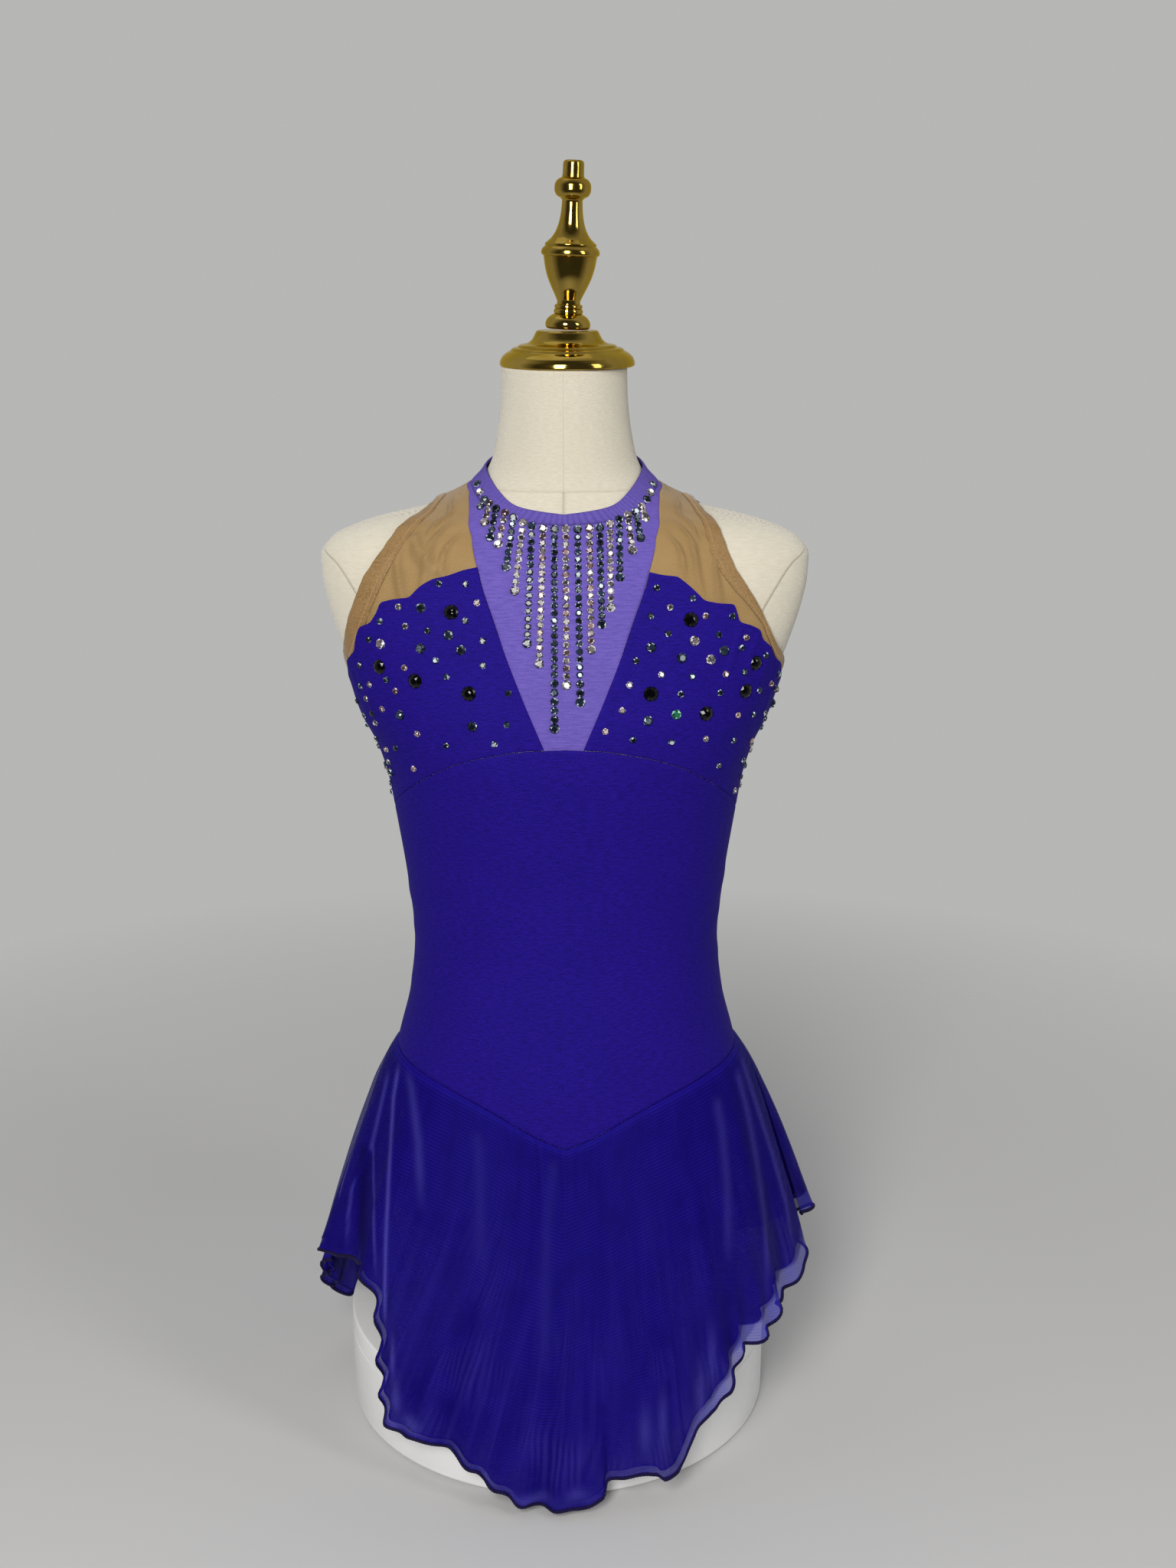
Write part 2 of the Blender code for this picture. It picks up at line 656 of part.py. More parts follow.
BODY_ROWS = 12
body_right = bust_hem[[0, 4, 8, 11, 14, 16, 18, 20, 22, 24]]
body_centre = spot(((0.0, UNDERBUST[0][1]),))
body_top = np.concatenate([mirrored(body_right)[::-1], body_centre, body_right])
BODY_COLUMNS = len(body_top)
body_bottom = level(WAIST_SEAM, -UNDERARM_ANGLE, UNDERARM_ANGLE, BODY_COLUMNS)
right_side = side_line(body_top[-1, 1], body_bottom[-1, 1], UNDERARM_ANGLE, BODY_ROWS)
front_grid = coons(body_top, body_bottom, mirrored(right_side), right_side)
cloth_on_form("front_body", front_grid, KNIT_WALL, ROYAL, 0.5)

back_rows_top = ((UNDERARM_ANGLE, UNDERARM_HEIGHT),) + BACK_TOP[1:]
back_half = level(back_rows_top, UNDERARM_ANGLE, 180.0, BACK_NECK_COUNT)
back_line = np.concatenate([back_half, [(360.0 - p[0], p[1]) for p in back_half[-2::-1]]])
BACK_COLUMNS = len(back_line)
waist_half = level(WAIST_SEAM, UNDERARM_ANGLE, 180.0, BACK_NECK_COUNT)
waist_back = np.concatenate([waist_half, [(360.0 - p[0], p[1]) for p in waist_half[-2::-1]]])
BACK_ROWS = 13
left_edge = side_line(back_line[0, 1], waist_back[0, 1], UNDERARM_ANGLE, BACK_ROWS)
right_edge = side_line(back_line[-1, 1], waist_back[-1, 1], 360.0 - UNDERARM_ANGLE, BACK_ROWS)
back_grid = coons(back_line, waist_back, left_edge, right_edge)
cloth_on_form("back_body", back_grid, KNIT_WALL, ROYAL, 0.5)

# Back yokes with the keyhole at centre back
outer_back = np.concatenate([[panel_top[-1]], [yoke_inner[0]], [armhole_seam[0]],
                             armhole_seam[:underarm - 1:-1]])
YOKE_BACK_ROWS = len(outer_back)
key_heights = np.linspace(KEYHOLE[-1][0], KEYHOLE[0][0], 300)
key_angles = smooth(column(KEYHOLE, 0), column(KEYHOLE, 1), key_heights)
key_line = even(np.stack([key_angles, to_travel(key_heights)], -1), YOKE_BACK_ROWS)
neck_back = neck_line(back_neck_angles, 1)
key_line[0] = neck_back[-1]
yoke_floor = back_half
key_line[-1] = yoke_floor[-1]
yoke_back = coons(neck_back, yoke_floor, outer_back, key_line)
for side, tag in ((-1, "left"), (1, "right")):
    grid = yoke_back if side > 0 else yoke_back * (-1.0, 1.0)
    cloth_on_form("yoke_back_" + tag, grid, MESH_WALL, TAN, 0.8)

# Neckband, its end lapping over at the nape, and the button on the lap
lap_angles = np.array([184.0, 189.5, 195.0])
band_angles = np.concatenate([-back_neck_angles[::-1], front_neck_angles[1:-1], back_neck_angles, lap_angles])
band_grid = np.stack([neck_line(band_angles, 2), neck_line(band_angles, 1)])
lap = np.clip((band_angles - 165.0) / 13.0, 0.0, 1.0)
band_lift = np.tile(1.75 * lap * lap * (3.0 - 2.0 * lap), (2, 1))
cloth_on_form("neckband", band_grid, 1.4, LAVENDER, 0.6, band_lift)

button_spot = form_point(np.array([180.0]), np.array([689.5]))[0]
button_out = form_normal(np.array([180.0]), np.array([689.5]))[0]


def turned(name, profile, centre, axis, sides, colour, roughness, metallic=0.0):
    """Solid of revolution whose profile starts and ends on the axis."""
    axis = np.asarray(axis, float)
    axis = axis / np.linalg.norm(axis)
    helper = np.array([1.0, 0.0, 0.0]) if abs(axis[0]) < 0.9 else np.array([0.0, 1.0, 0.0])
    first = np.cross(axis, helper)
    first /= np.linalg.norm(first)
    second = np.cross(axis, first)
    points = [np.asarray(centre) + axis * profile[0][1]]
    for radius, along in profile[1:-1]:
        for k in range(sides):
            a = 2.0 * math.pi * k / sides
            around = first * math.cos(a) + second * math.sin(a)
            points.append(np.asarray(centre) + axis * along + around * radius)
    points.append(np.asarray(centre) + axis * profile[-1][1])
    rings = len(profile) - 2
    last = len(points) - 1
    faces = []
    for k in range(sides):
        n = (k + 1) % sides
        faces.append((0, 1 + n, 1 + k))
        faces.append((last, 1 + (rings - 1) * sides + k, 1 + (rings - 1) * sides + n))
        for r in range(rings - 1):
            a = 1 + r * sides
            b = a + sides
            faces.append((a + k, a + n, b + n, b + k))
    return make_solid(name, points, faces, colour, roughness, metallic)


BUTTON_PROFILE = ((0.0, 0.0), (4.6, 0.0), (5.0, 0.6), (4.8, 1.8), (3.4, 2.6), (0.0, 2.9))
turned("neck_button", BUTTON_PROFILE, button_spot + button_out * 4.4, button_out, 10, LAVENDER, 0.4)

# Large stones on the bust
STONE_PROFILE = ((0.0, 0.0), (5.0, 0.0), (3.2, 2.6), (0.0, 2.6))
bust_trees = {}
for side, tag in ((-1, "left"), (1, "right")):
    bust_mesh = bpy.data.objects["bust_" + tag].data
    corners = [v.co.copy() for v in bust_mesh.vertices]
    bust_trees[side] = BVHTree.FromPolygons(corners, [tuple(p.vertices) for p in bust_mesh.polygons])
for index, (side, angle, height) in enumerate(LARGE_STONES):
    seat = form_point(np.array([side * angle]), np.array([height]))[0]
    out = form_normal(np.array([side * angle]), np.array([height]))[0]
    above = (seat + out * 8.0 + np.array([CENTRE_SHIFT[0], CENTRE_SHIFT[1], 0.0])) * MM
    touch, facing, _, _ = bust_trees[side].find_nearest(Vector(above))
    seat = np.array(touch) / MM - np.array([CENTRE_SHIFT[0], CENTRE_SHIFT[1], 0.0])
    out = 0.5 * out + 0.5 * np.array(facing)
    out /= np.linalg.norm(out)
    turned("bust_jewel_%d" % (index + 1), STONE_PROFILE, seat + out * 0.42, out, 8, BLACK, 0.1)


# Skirt layers
def fold_swing(angle, way):
    total = np.zeros(np.broadcast(angle, way).shape)
    for centre, half, swing, start in FOLDS:
        off = np.abs((angle - centre + 180.0) % 360.0 - 180.0) / half
        bump = np.where(off < 1.0, 0.5 + 0.5 * np.cos(math.pi * np.clip(off, 0.0, 1.0)), 0.0)
        grow = np.clip((way - start) / (1.0 - start), 0.0, 1.0)
        total = total + swing * bump * grow
    return total


def hem_wave(angle, way, start, stop, count, swing):
    step = (angle - start) / (stop - start) * count
    uneven = 0.75 + 0.25 * np.sin(angle * 0.37 + 1.0)
    return swing * uneven * np.cos(2.0 * math.pi * step + 0.5 * np.sin(step * 1.9)) * way ** 5


def skirt_point(angle, way, hem, waves, swing, rise, inset):
    """Outer face of a skirt layer at an angle and a way down from waist (0) to hem (1)."""
    flat = np.where(np.abs(angle) > 180.0, 360.0 - np.abs(angle), np.abs(angle))
    top_height = smooth(column(WAIST_SEAM, 0), column(WAIST_SEAM, 1), flat)
    top = form_point(angle, top_height)
    out = form_normal(angle, top_height)
    top = top + out * (CLEARANCE + KNIT_WALL)
    across = smooth(column(hem, 0), column(hem, 1), angle)
    deep = smooth(column(hem, 0), column(hem, 2), angle)
    low = smooth(column(hem, 0), column(hem, 3), angle)
    radians = np.radians(angle)
    facing = np.stack([np.sin(radians), -np.cos(radians), 0.0 * radians], -1)
    # share of the way down that the layer's own hem reaches
    reach = 1.0 - smooth(column(rise, 0), column(rise, 1), angle) / (top_height - low)
    down = way * reach
    front_share = np.clip(np.cos(radians), 0.0, 1.0) ** 1.3
    back_share = np.clip(-np.cos(radians), 0.0, 1.0) ** 1.3
    side_share = 1.0 - front_share - back_share
    swung = (front_share * smooth(column(FLARE, 0), column(FLARE, 1), down)
             + side_share * smooth(column(FLARE, 0), column(FLARE, 2), down)
             + back_share * smooth(column(FLARE, 0), column(FLARE, 3), down))
    x = top[..., 0] + (across * np.sin(radians) - top[..., 0]) * swung
    y = top[..., 1] + (-deep * np.cos(radians) - top[..., 1]) * swung
    z = top[..., 2] + (low - top[..., 2]) * down
    shift = fold_swing(angle, down)
    start, stop, count = waves
    shift = shift + hem_wave(angle, down, start, stop, count, swing)
    shift = shift - (inset[0] + inset[1] * down)
    point = np.stack([x, y, z], -1) + facing * shift[..., None]
    # stay outside the form and the stand's rim
    drop = top_height - z
    depth = inset[0] + inset[1] * down
    body = form_point(angle, np.maximum(z, FORM_BASE))
    reach_out = np.hypot(point[..., 0], point[..., 1])
    least = np.hypot(body[..., 0], body[..., 1]) + np.minimum(1.8 + 0.34 * drop, 6.8) - inset[0]
    turn = np.arctan2(point[..., 0], -point[..., 1])
    rim = STAND_SHIFT_X * np.sin(turn) + STAND_RADIUS
    rim = rim + 7.6 - depth - 1.1 * np.maximum(z - STAND_HEIGHT - 4.0, 0.0)
    least = np.where(z > 150.0, least, np.maximum(least, rim))
    soft = 0.5 * (reach_out + least + np.sqrt((reach_out - least) ** 2 + 1.0))
    grown = np.where(down < 0.02, reach_out, soft) / reach_out
    point[..., 0] *= grown
    point[..., 1] *= grown
    return point


def skirt_layer(name, hem, angles, ways, waves, swing, rise, inset, wall):
    way_grid, angle_grid = np.meshgrid(ways, angles, indexing="ij")
    outer = skirt_point(angle_grid, way_grid, hem, waves, swing, rise, inset)
    a = skirt_point(angle_grid + 0.3, way_grid, hem, waves, swing, rise, inset)
    b = skirt_point(angle_grid - 0.3, way_grid, hem, waves, swing, rise, inset)
    upper = skirt_point(angle_grid, np.clip(way_grid - 0.012, 0.0, 1.0), hem, waves, swing, rise, inset)
    lower = skirt_point(angle_grid, np.clip(way_grid + 0.012, 0.0, 1.0), hem, waves, swing, rise, inset)
    normal = np.cross(a - b, upper - lower)
    normal /= np.linalg.norm(normal, axis=-1, keepdims=True)
    inner = outer - normal * wall
    inner[..., 2] = np.maximum(inner[..., 2], 3.0)
    return wall_solid(name, draw_in(outer, SEAM_GAP), draw_in(inner, SEAM_GAP), SHEER, 0.5)


SIDE = 90.5
front_angles = np.linspace(-SIDE, SIDE, 4 * HEM_WAVES_FRONT + 1)
OUTER_WAYS = (0.0, 0.06, 0.2, 0.4, 0.62, 0.84, 1.0)
skirt_layer("skirt_front_outer", HEM_FRONT, front_angles, OUTER_WAYS,
            (-SIDE, SIDE, HEM_WAVES_FRONT), HEM_WAVE_SWING, OUTER_RISE, (0.0, 0.0), KNIT_WALL)
under_angles = np.linspace(-SIDE, SIDE, 4 * HEM_WAVES_UNDER_FRONT + 1)
UNDER_WAYS = (0.06, 0.22, 0.46, 0.74, 1.0)
skirt_layer("skirt_front_under", HEM_FRONT, under_angles, UNDER_WAYS,
            (-SIDE, SIDE, HEM_WAVES_UNDER_FRONT), 1.8, UNDER_RISE, (2.7, 4.4), MESH_WALL)
back_angles = np.linspace(SIDE, 360.0 - SIDE, 4 * HEM_WAVES_BACK + 1)
BACK_WAYS = (0.0, 0.07, 0.24, 0.48, 0.75, 1.0)
skirt_layer("skirt_back_outer", HEM_BACK, back_angles, BACK_WAYS,
            (SIDE, 360.0 - SIDE, HEM_WAVES_BACK), HEM_WAVE_SWING, OUTER_RISE, (0.0, 0.0), KNIT_WALL)
under_back_angles = np.linspace(SIDE, 360.0 - SIDE, 4 * HEM_WAVES_UNDER_BACK + 1)
skirt_layer("skirt_back_under", HEM_BACK, under_back_angles, UNDER_WAYS,
            (SIDE, 360.0 - SIDE, HEM_WAVES_UNDER_BACK), 1.8, UNDER_RISE, (2.7, 4.4), MESH_WALL)

# Brief: it starts under the skirt's top edges
BRIEF_DROP = 16.0
BRIEF_COLUMNS = 17
BRIEF_ROWS = 7


def brief_side(name, top_rows, leg_rows, start, stop, flip):
    angles = np.linspace(start, stop, 300)
    flat = np.where(np.abs(angles) > 180.0, 360.0 - np.abs(angles), np.abs(angles))
    tops = smooth(column(top_rows, 0), column(top_rows, 1), flat) - BRIEF_DROP
    top = even(np.stack([angles, to_travel(tops)], -1), BRIEF_COLUMNS)
    leg_angle = 180.0 - flat if flip else flat
    legs = smooth(column(leg_rows, 0), column(leg_rows, 1), leg_angle)
    bottom = even(np.stack([angles, to_travel(legs)], -1), BRIEF_COLUMNS)
    left = side_line(top[0, 1], bottom[0, 1], start, BRIEF_ROWS)
    right = side_line(top[-1, 1], bottom[-1, 1], stop, BRIEF_ROWS)
    cloth_on_form(name, coons(top, bottom, left, right), MESH_WALL, ROYAL, 0.5)


brief_side("brief_front", WAIST_SEAM, LEG_LINE, -90.0, 90.0, False)
brief_side("brief_back", WAIST_SEAM, LEG_LINE_BACK, 90.0, 270.0, True)

# Gusset: a strip under the arch between the thighs
front_end = form_point(np.array([0.0]), np.array([90.0]))[0]
back_end = form_point(np.array([180.0]), np.array([90.0]))[0]
front_y = front_end[1] - CLEARANCE - MESH_WALL / 2.0
back_y = back_end[1] + CLEARANCE + MESH_WALL / 2.0
gusset_path = ((front_y, 89.2), (front_y + 1.0, 86.5), (front_y + 4.0, 84.6), (-50.0, 84.0), (0.0, 84.0),
               (50.0, 84.0), (back_y - 4.0, 84.6), (back_y - 1.0, 86.5), (back_y, 89.2))
GUSSET_HALF = 24.0
rows_out = []
rows_in = []
for i, (y, z) in enumerate(gusset_path):
    before = gusset_path[max(i - 1, 0)]
    after = gusset_path[min(i + 1, len(gusset_path) - 1)]
    way = np.array([after[0] - before[0], after[1] - before[1]])
    way /= np.linalg.norm(way)
    down = np.array([way[1], -way[0]])
    across = np.linspace(-GUSSET_HALF, GUSSET_HALF, 3)
    rows_out.append([(x, y + down[0] * MESH_WALL / 2, z + down[1] * MESH_WALL / 2) for x in across])
    rows_in.append([(x, y - down[0] * MESH_WALL / 2, z - down[1] * MESH_WALL / 2) for x in across])
wall_solid("brief_gusset", np.array(rows_out), np.array(rows_in), ROYAL, 0.5)

# Form: torso with the arch between the thighs
FORM_SIDES = 30
form_rings = (70.8, 95.0, 125.0, 165.0, 205.0, 245.0, 283.0, 312.0, 336.0, 358.0, 380.0, 406.0, 444.0, 480.0,
              515.0, 550.0, 580.0, 604.0, 620.0, 630.0, 639.0, 646.0, 651.0, 655.0, 660.0, 665.5,
              671.0, 677.0, 684.0, 693.0, 708.0, 748.0)
around = np.linspace(0.0, 360.0, FORM_SIDES, endpoint=False)
ring_points = []
for h in form_rings:
    level_height = np.full(FORM_SIDES, h)
    ring = form_point(around, level_height)
    inward = form_normal(around, np.clip(level_height, FORM_BASE + 1.0, NECK_TOP - 1.0)) * FORM_INSET
    inward[:, 2] = 0.0 if h in (FORM_BASE, NECK_TOP) else inward[:, 2]
    ring_points.append(ring - inward)
points = [p for ring in ring_points for p in ring]
faces = []
for r in range(len(form_rings) - 1):
    for k in range(FORM_SIDES):
        n = (k + 1) % FORM_SIDES
        a = r * FORM_SIDES
        b = a + FORM_SIDES
        faces.append((a + k, a + n, b + n, b + k))
faces.append(tuple(range(FORM_SIDES)))
faces.append(tuple(range((len(form_rings) - 1) * FORM_SIDES, len(form_rings) * FORM_SIDES)))
torso = make_solid("form_torso", points, faces, LINEN, 0.9)

arch_outline = [(-ARCH_HALF_WIDTH, 60.0), (ARCH_HALF_WIDTH, 60.0), (ARCH_HALF_WIDTH, ARCH_TOP - 6.0),
                (ARCH_HALF_WIDTH - 6.0, ARCH_TOP), (-ARCH_HALF_WIDTH + 6.0, ARCH_TOP),
                (-ARCH_HALF_WIDTH, ARCH_TOP - 6.0)]
arch_points = [(x, -140.0, z) for x, z in arch_outline] + [(x, 140.0, z) for x, z in arch_outline]
arch_faces = [tuple(range(6)), tuple(range(11, 5, -1))]
for k in range(6):
    n = (k + 1) % 6
    arch_faces.append((k, 6 + k, 6 + n, n))
arch = make_solid("arch_cutter", arch_points, arch_faces, LINEN, 0.9)
arch.hide_render = True
arch.display_type = "WIRE"
cut = torso.modifiers.new("arch", "BOOLEAN")
cut.operation = "DIFFERENCE"
cut.solver = "EXACT"
cut.object = arch

turned("neck_cap", CAP_PROFILE, (CAP_SHIFT_X, 0.0, 0.0), (0.0, 0.0, 1.0), 24, GOLD, 0.25, 1.0)
lean = math.radians(FINIAL_LEAN)
finial_axis = (math.sin(lean), 0.0, math.cos(lean))
finial_foot = (CAP_SHIFT_X + 0.3, 0.0, FINIAL_PROFILE[0][1] + 0.6)
finial_rows = [(radius, height - FINIAL_PROFILE[0][1]) for radius, height in FINIAL_PROFILE]
turned("finial", finial_rows, finial_foot, finial_axis, 12, GOLD, 0.2, 1.0)

STAND_PROFILE = ((0.0, 0.0), (STAND_RADIUS, 0.0), (STAND_RADIUS, STAND_SEAM_HEIGHT - 0.6),
                 (STAND_RADIUS - 1.2, STAND_SEAM_HEIGHT - 0.3), (STAND_RADIUS - 1.2, STAND_SEAM_HEIGHT + 0.3),
                 (STAND_RADIUS, STAND_SEAM_HEIGHT + 0.6), (STAND_RADIUS, STAND_HEIGHT - 1.6),
                 (STAND_RADIUS - 1.6, STAND_HEIGHT), (0.0, STAND_HEIGHT))
turned("display_stand", STAND_PROFILE, (STAND_SHIFT_X, 0.0, 0.0), (0.0, 0.0, 1.0), 48, WHITE, 0.35)
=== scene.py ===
"""Figure skating dress on a child-size dress form, standing on a round display stand.

The sections follow the way the object is put together: stand, form, gold cap and finial, then the
dress from the brief up to the neckband, then its crystals, and last the floor, lights and camera.
Lengths are millimetres from the form's axis until a mesh is made. Front is -Y, up is +Z.
"""
import math

import bmesh
import bpy
import numpy as np
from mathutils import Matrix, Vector
from mathutils.bvhtree import BVHTree


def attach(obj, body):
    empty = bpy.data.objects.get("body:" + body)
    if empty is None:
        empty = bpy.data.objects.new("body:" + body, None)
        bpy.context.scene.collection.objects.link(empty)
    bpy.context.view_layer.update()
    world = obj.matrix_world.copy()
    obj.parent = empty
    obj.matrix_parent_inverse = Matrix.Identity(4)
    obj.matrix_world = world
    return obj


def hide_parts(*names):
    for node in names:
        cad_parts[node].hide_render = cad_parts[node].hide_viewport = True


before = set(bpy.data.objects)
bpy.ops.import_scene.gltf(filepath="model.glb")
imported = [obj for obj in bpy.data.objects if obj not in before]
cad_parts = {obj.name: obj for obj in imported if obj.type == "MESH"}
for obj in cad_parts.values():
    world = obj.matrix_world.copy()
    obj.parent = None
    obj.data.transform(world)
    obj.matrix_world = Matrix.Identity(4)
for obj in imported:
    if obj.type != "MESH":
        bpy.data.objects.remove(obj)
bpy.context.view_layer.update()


# Display stand: a moulded drum in satin white plastic, with a parting line round its wall near the
# top and a small rounded rim. The dress form stands on it.
MM = 0.001
FORM_AXIS = np.array([6.2, 0.7, 0.0])
STAND_SHIFT_X = -7.0
STAND_RADIUS = 152.4
STAND_HEIGHT = 70.5
# radius and height, from the underside up the wall and its parting line to the middle of the top
STAND_WALL = ((0, 0), (148.6, 0), (150.6, 0.4), (152, 1.6), (152.4, 3.2), (152.4, 53.7), (152.1, 54),
              (150.9, 54.1), (150.8, 54.5), (150.9, 54.9), (152.1, 55), (152.4, 55.3), (152.4, 68.9),
              (152.2, 69.7), (151.6, 70.3), (150.8, 70.5), (120, 70.5), (0, 70.5))


def start_finish(name, colour, roughness, **sockets):
    """A Principled material, with its fixed numbers set straight on the shader's sockets."""
    material = bpy.data.materials.new(name)
    material.use_nodes = True
    shader = material.node_tree.nodes["Principled BSDF"]
    shader.inputs["Base Color"].default_value = (*colour, 1.0)
    shader.inputs["Roughness"].default_value = roughness
    for socket, value in sockets.items():
        shader.inputs[socket.replace("_", " ")].default_value = value
    return material, material.node_tree, shader


def add(tree, kind, inputs=None, **settings):
    """One shader or geometry node: settings are its own, inputs are numbers or other nodes' sockets."""
    node = tree.nodes.new(kind)
    for key, value in settings.items():
        setattr(node, key, value)
    for key, value in (inputs or {}).items():
        if isinstance(value, bpy.types.NodeSocket):
            tree.links.new(value, node.inputs[key])
        else:
            node.inputs[key].default_value = value
    return node


def mixed_colour(tree, share, first, second):
    """Colour that goes from first to second with the share."""
    node = add(tree, "ShaderNodeMix", data_type="RGBA")
    tree.links.new(share, node.inputs[0])
    for index, value in ((6, first), (7, second)):
        if isinstance(value, bpy.types.NodeSocket):
            tree.links.new(value, node.inputs[index])
        else:
            node.inputs[index].default_value = (*value, 1.0)
    return node.outputs[2]


def spread_range(tree, value, low, high, to_low=0.0, to_high=1.0):
    """The value's stretch from low to high, spread over another one."""
    return add(tree, "ShaderNodeMapRange", {"Value": value, "From Min": low, "From Max": high,
                                            "To Min": to_low, "To Max": to_high}).outputs["Result"]


def noise(tree, where, scale, detail, **more):
    node = add(tree, "ShaderNodeTexNoise", {"Vector": where, "Scale": scale, "Detail": detail, **more})
    return node.outputs["Fac"]


def embossed(tree, shader, height, strength, distance):
    """Fine relief that only the light shows."""
    bump = add(tree, "ShaderNodeBump", {"Height": height, "Strength": strength, "Distance": distance})
    tree.links.new(bump.outputs["Normal"], shader.inputs["Normal"])


def object_place(tree):
    return add(tree, "ShaderNodeTexCoord").outputs["Object"]


def full_turn(count):
    return np.linspace(0.0, math.tau, count, endpoint=False)


def into_scene(name, data):
    """A new object that holds this mesh, lamp or camera."""
    thing = bpy.data.objects.new(name, data)
    bpy.context.scene.collection.objects.link(thing)
    return thing


def make_piece(name, points, faces, material, uv=None, instead_of=(), crease=None):
    """A finished mesh in its place, smooth shaded, riding on the one body."""
    mesh = bpy.data.meshes.new(name)
    mesh.from_pydata(((np.asarray(points, float) + FORM_AXIS) * MM).tolist(), [], [tuple(f) for f in faces])
    mesh.polygons.foreach_set("use_smooth", np.ones(len(mesh.polygons), bool))
    if crease is not None:
        mesh.set_sharp_from_angle(angle=math.radians(crease))
    if uv is not None:
        corners = np.zeros(len(mesh.loops), int)
        mesh.loops.foreach_get("vertex_index", corners)
        layer = mesh.uv_layers.new(name="cut")
        layer.data.foreach_set("uv", (np.asarray(uv, float) * MM)[corners].astype(np.float32).ravel())
    mesh.materials.append(material)
    return dressed(into_scene(name, mesh), instead_of)


def dressed(piece, instead_of):
    """The piece rides on the one body and stands in for these solids."""
    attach(piece, "root")
    if instead_of:
        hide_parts(*instead_of)
    return piece


def turned(name, profile, centre, lean, sides, material, instead_of, crease):
    """A turned piece: rows of radius and height, from the axis below to the axis above."""
    axis = np.array([math.sin(lean), 0.0, math.cos(lean)])
    across = np.array([math.cos(lean), 0.0, -math.sin(lean)])
    deep = np.array([0.0, 1.0, 0.0])
    turn = full_turn(sides)
    rows = np.array(profile, float)
    centre = np.asarray(centre, float)
    ring = np.cos(turn)[:, None] * across + np.sin(turn)[:, None] * deep
    points = [centre + axis * rows[0, 1]]
    uv = [(0.0, 0.0)]
    run = 0.0
    for i in range(1, len(rows) - 1):
        run += float(np.hypot(*(rows[i] - rows[i - 1])))
        points.extend(centre + axis * rows[i, 1] + ring * rows[i, 0])
        uv.extend((t * 40.0, run) for t in turn)
    points.append(centre + axis * rows[-1, 1])
    uv.append((0.0, run))
    faces = []
    last = len(points) - 1
    rings = len(rows) - 2
    for k in range(sides):
        n = (k + 1) % sides
        faces.append((0, 1 + n, 1 + k))
        faces.append((last, 1 + (rings - 1) * sides + k, 1 + (rings - 1) * sides + n))
        for r in range(rings - 1):
            a = 1 + r * sides
            faces.append((a + k, a + n, a + sides + n, a + sides + k))
    return make_piece(name, points, faces, material, uv, instead_of, crease)


satin_white, tree, shader = start_finish("satin_white_plastic", (0.80, 0.81, 0.82), 0.34,
                                         Specular_IOR_Level=0.45)
where = object_place(tree)
grain = noise(tree, where, 900.0, 3.0)
handling = noise(tree, where, 14.0, 6.0, Roughness=0.65)
tree.links.new(spread_range(tree, handling, 0.35, 0.7, 0.30, 0.42), shader.inputs["Roughness"])
tone = mixed_colour(tree, spread_range(tree, handling, 0.4, 0.75), (0.772, 0.777, 0.781),
                    (0.707, 0.711, 0.721))
tree.links.new(tone, shader.inputs["Base Color"])
embossed(tree, shader, grain, 0.25, 0.00008)
turned("stand_drum", STAND_WALL, (STAND_SHIFT_X, 0.0, 0.0), 0.0, 160, satin_white,
       ("display_stand",), 40.0)


# Dress form: a limbless child's torso, padded and covered in cream linen that is seamed down the
# centre front, the sides and the shoulders and round the neck, with an arch cut between its legs.
FORM_BASE = 70.8
FORM_INSET = 0.6
NECK_TOP = 748.0
ARCH_TOP = 95.0
ARCH_HALF_WIDTH = 30.0
# height, half width, front depth, back depth, squareness of the section
FORM_SECTIONS = np.array((
    (70.8, 116, 78, 80, 2.2),
    (95, 120, 82, 86, 2.2),
    (120, 124, 85, 92, 2.2),
    (160, 130, 88, 98, 2.2),
    (190, 132, 89, 98, 2.2),
    (220, 130, 89, 94, 2.2),
    (250, 125.5, 88, 87, 2.2),
    (283, 117, 86, 79, 2.2),
    (318, 108.5, 83, 73, 2.2),
    (358, 104.8, 80, 70, 2.2),
    (399, 108.5, 81, 74, 2.2),
    (444, 115, 85, 80, 2.2),
    (477, 120.5, 89, 83, 2.25),
    (499, 127, 91, 85, 2.3),
    (521, 135.5, 91, 87, 2.35),
    (545, 143.5, 88, 88, 2.4),
    (570, 152.5, 83, 88, 2.4),
    (594, 160, 76, 87, 2.35),
    (612, 163.5, 70, 85, 2.3),
    (625, 164, 65, 82, 2.2),
    (637, 156, 59.5, 78, 2.1),
    (645, 140, 56, 75, 2),
    (650.5, 121, 54, 73, 2),
    (655, 100, 52, 71, 2),
    (661, 83, 50, 68, 2),
    (668, 68, 48.5, 64, 2),
    (674, 59, 47.5, 60, 2),
    (682, 52, 46.5, 55, 2),
    (690, 48.5, 46, 50, 2),
    (700, 46.3, 45.5, 45.5, 2),
    (714, 44, 45, 42, 2),
    (730, 42.5, 44.5, 40, 2),
    (748, 42, 44, 39, 2),
))


def slopes(xs, ys):
    step = np.diff(xs)
    rise = np.diff(ys) / step
    out = np.zeros(len(xs))
    out[0] = rise[0]
    out[-1] = rise[-1]
    for i in range(1, len(xs) - 1):
        if rise[i - 1] * rise[i] > 0:
            first = 2.0 * step[i] + step[i - 1]
            second = step[i] + 2.0 * step[i - 1]
            out[i] = (first + second) / (first / rise[i - 1] + second / rise[i])
    return out


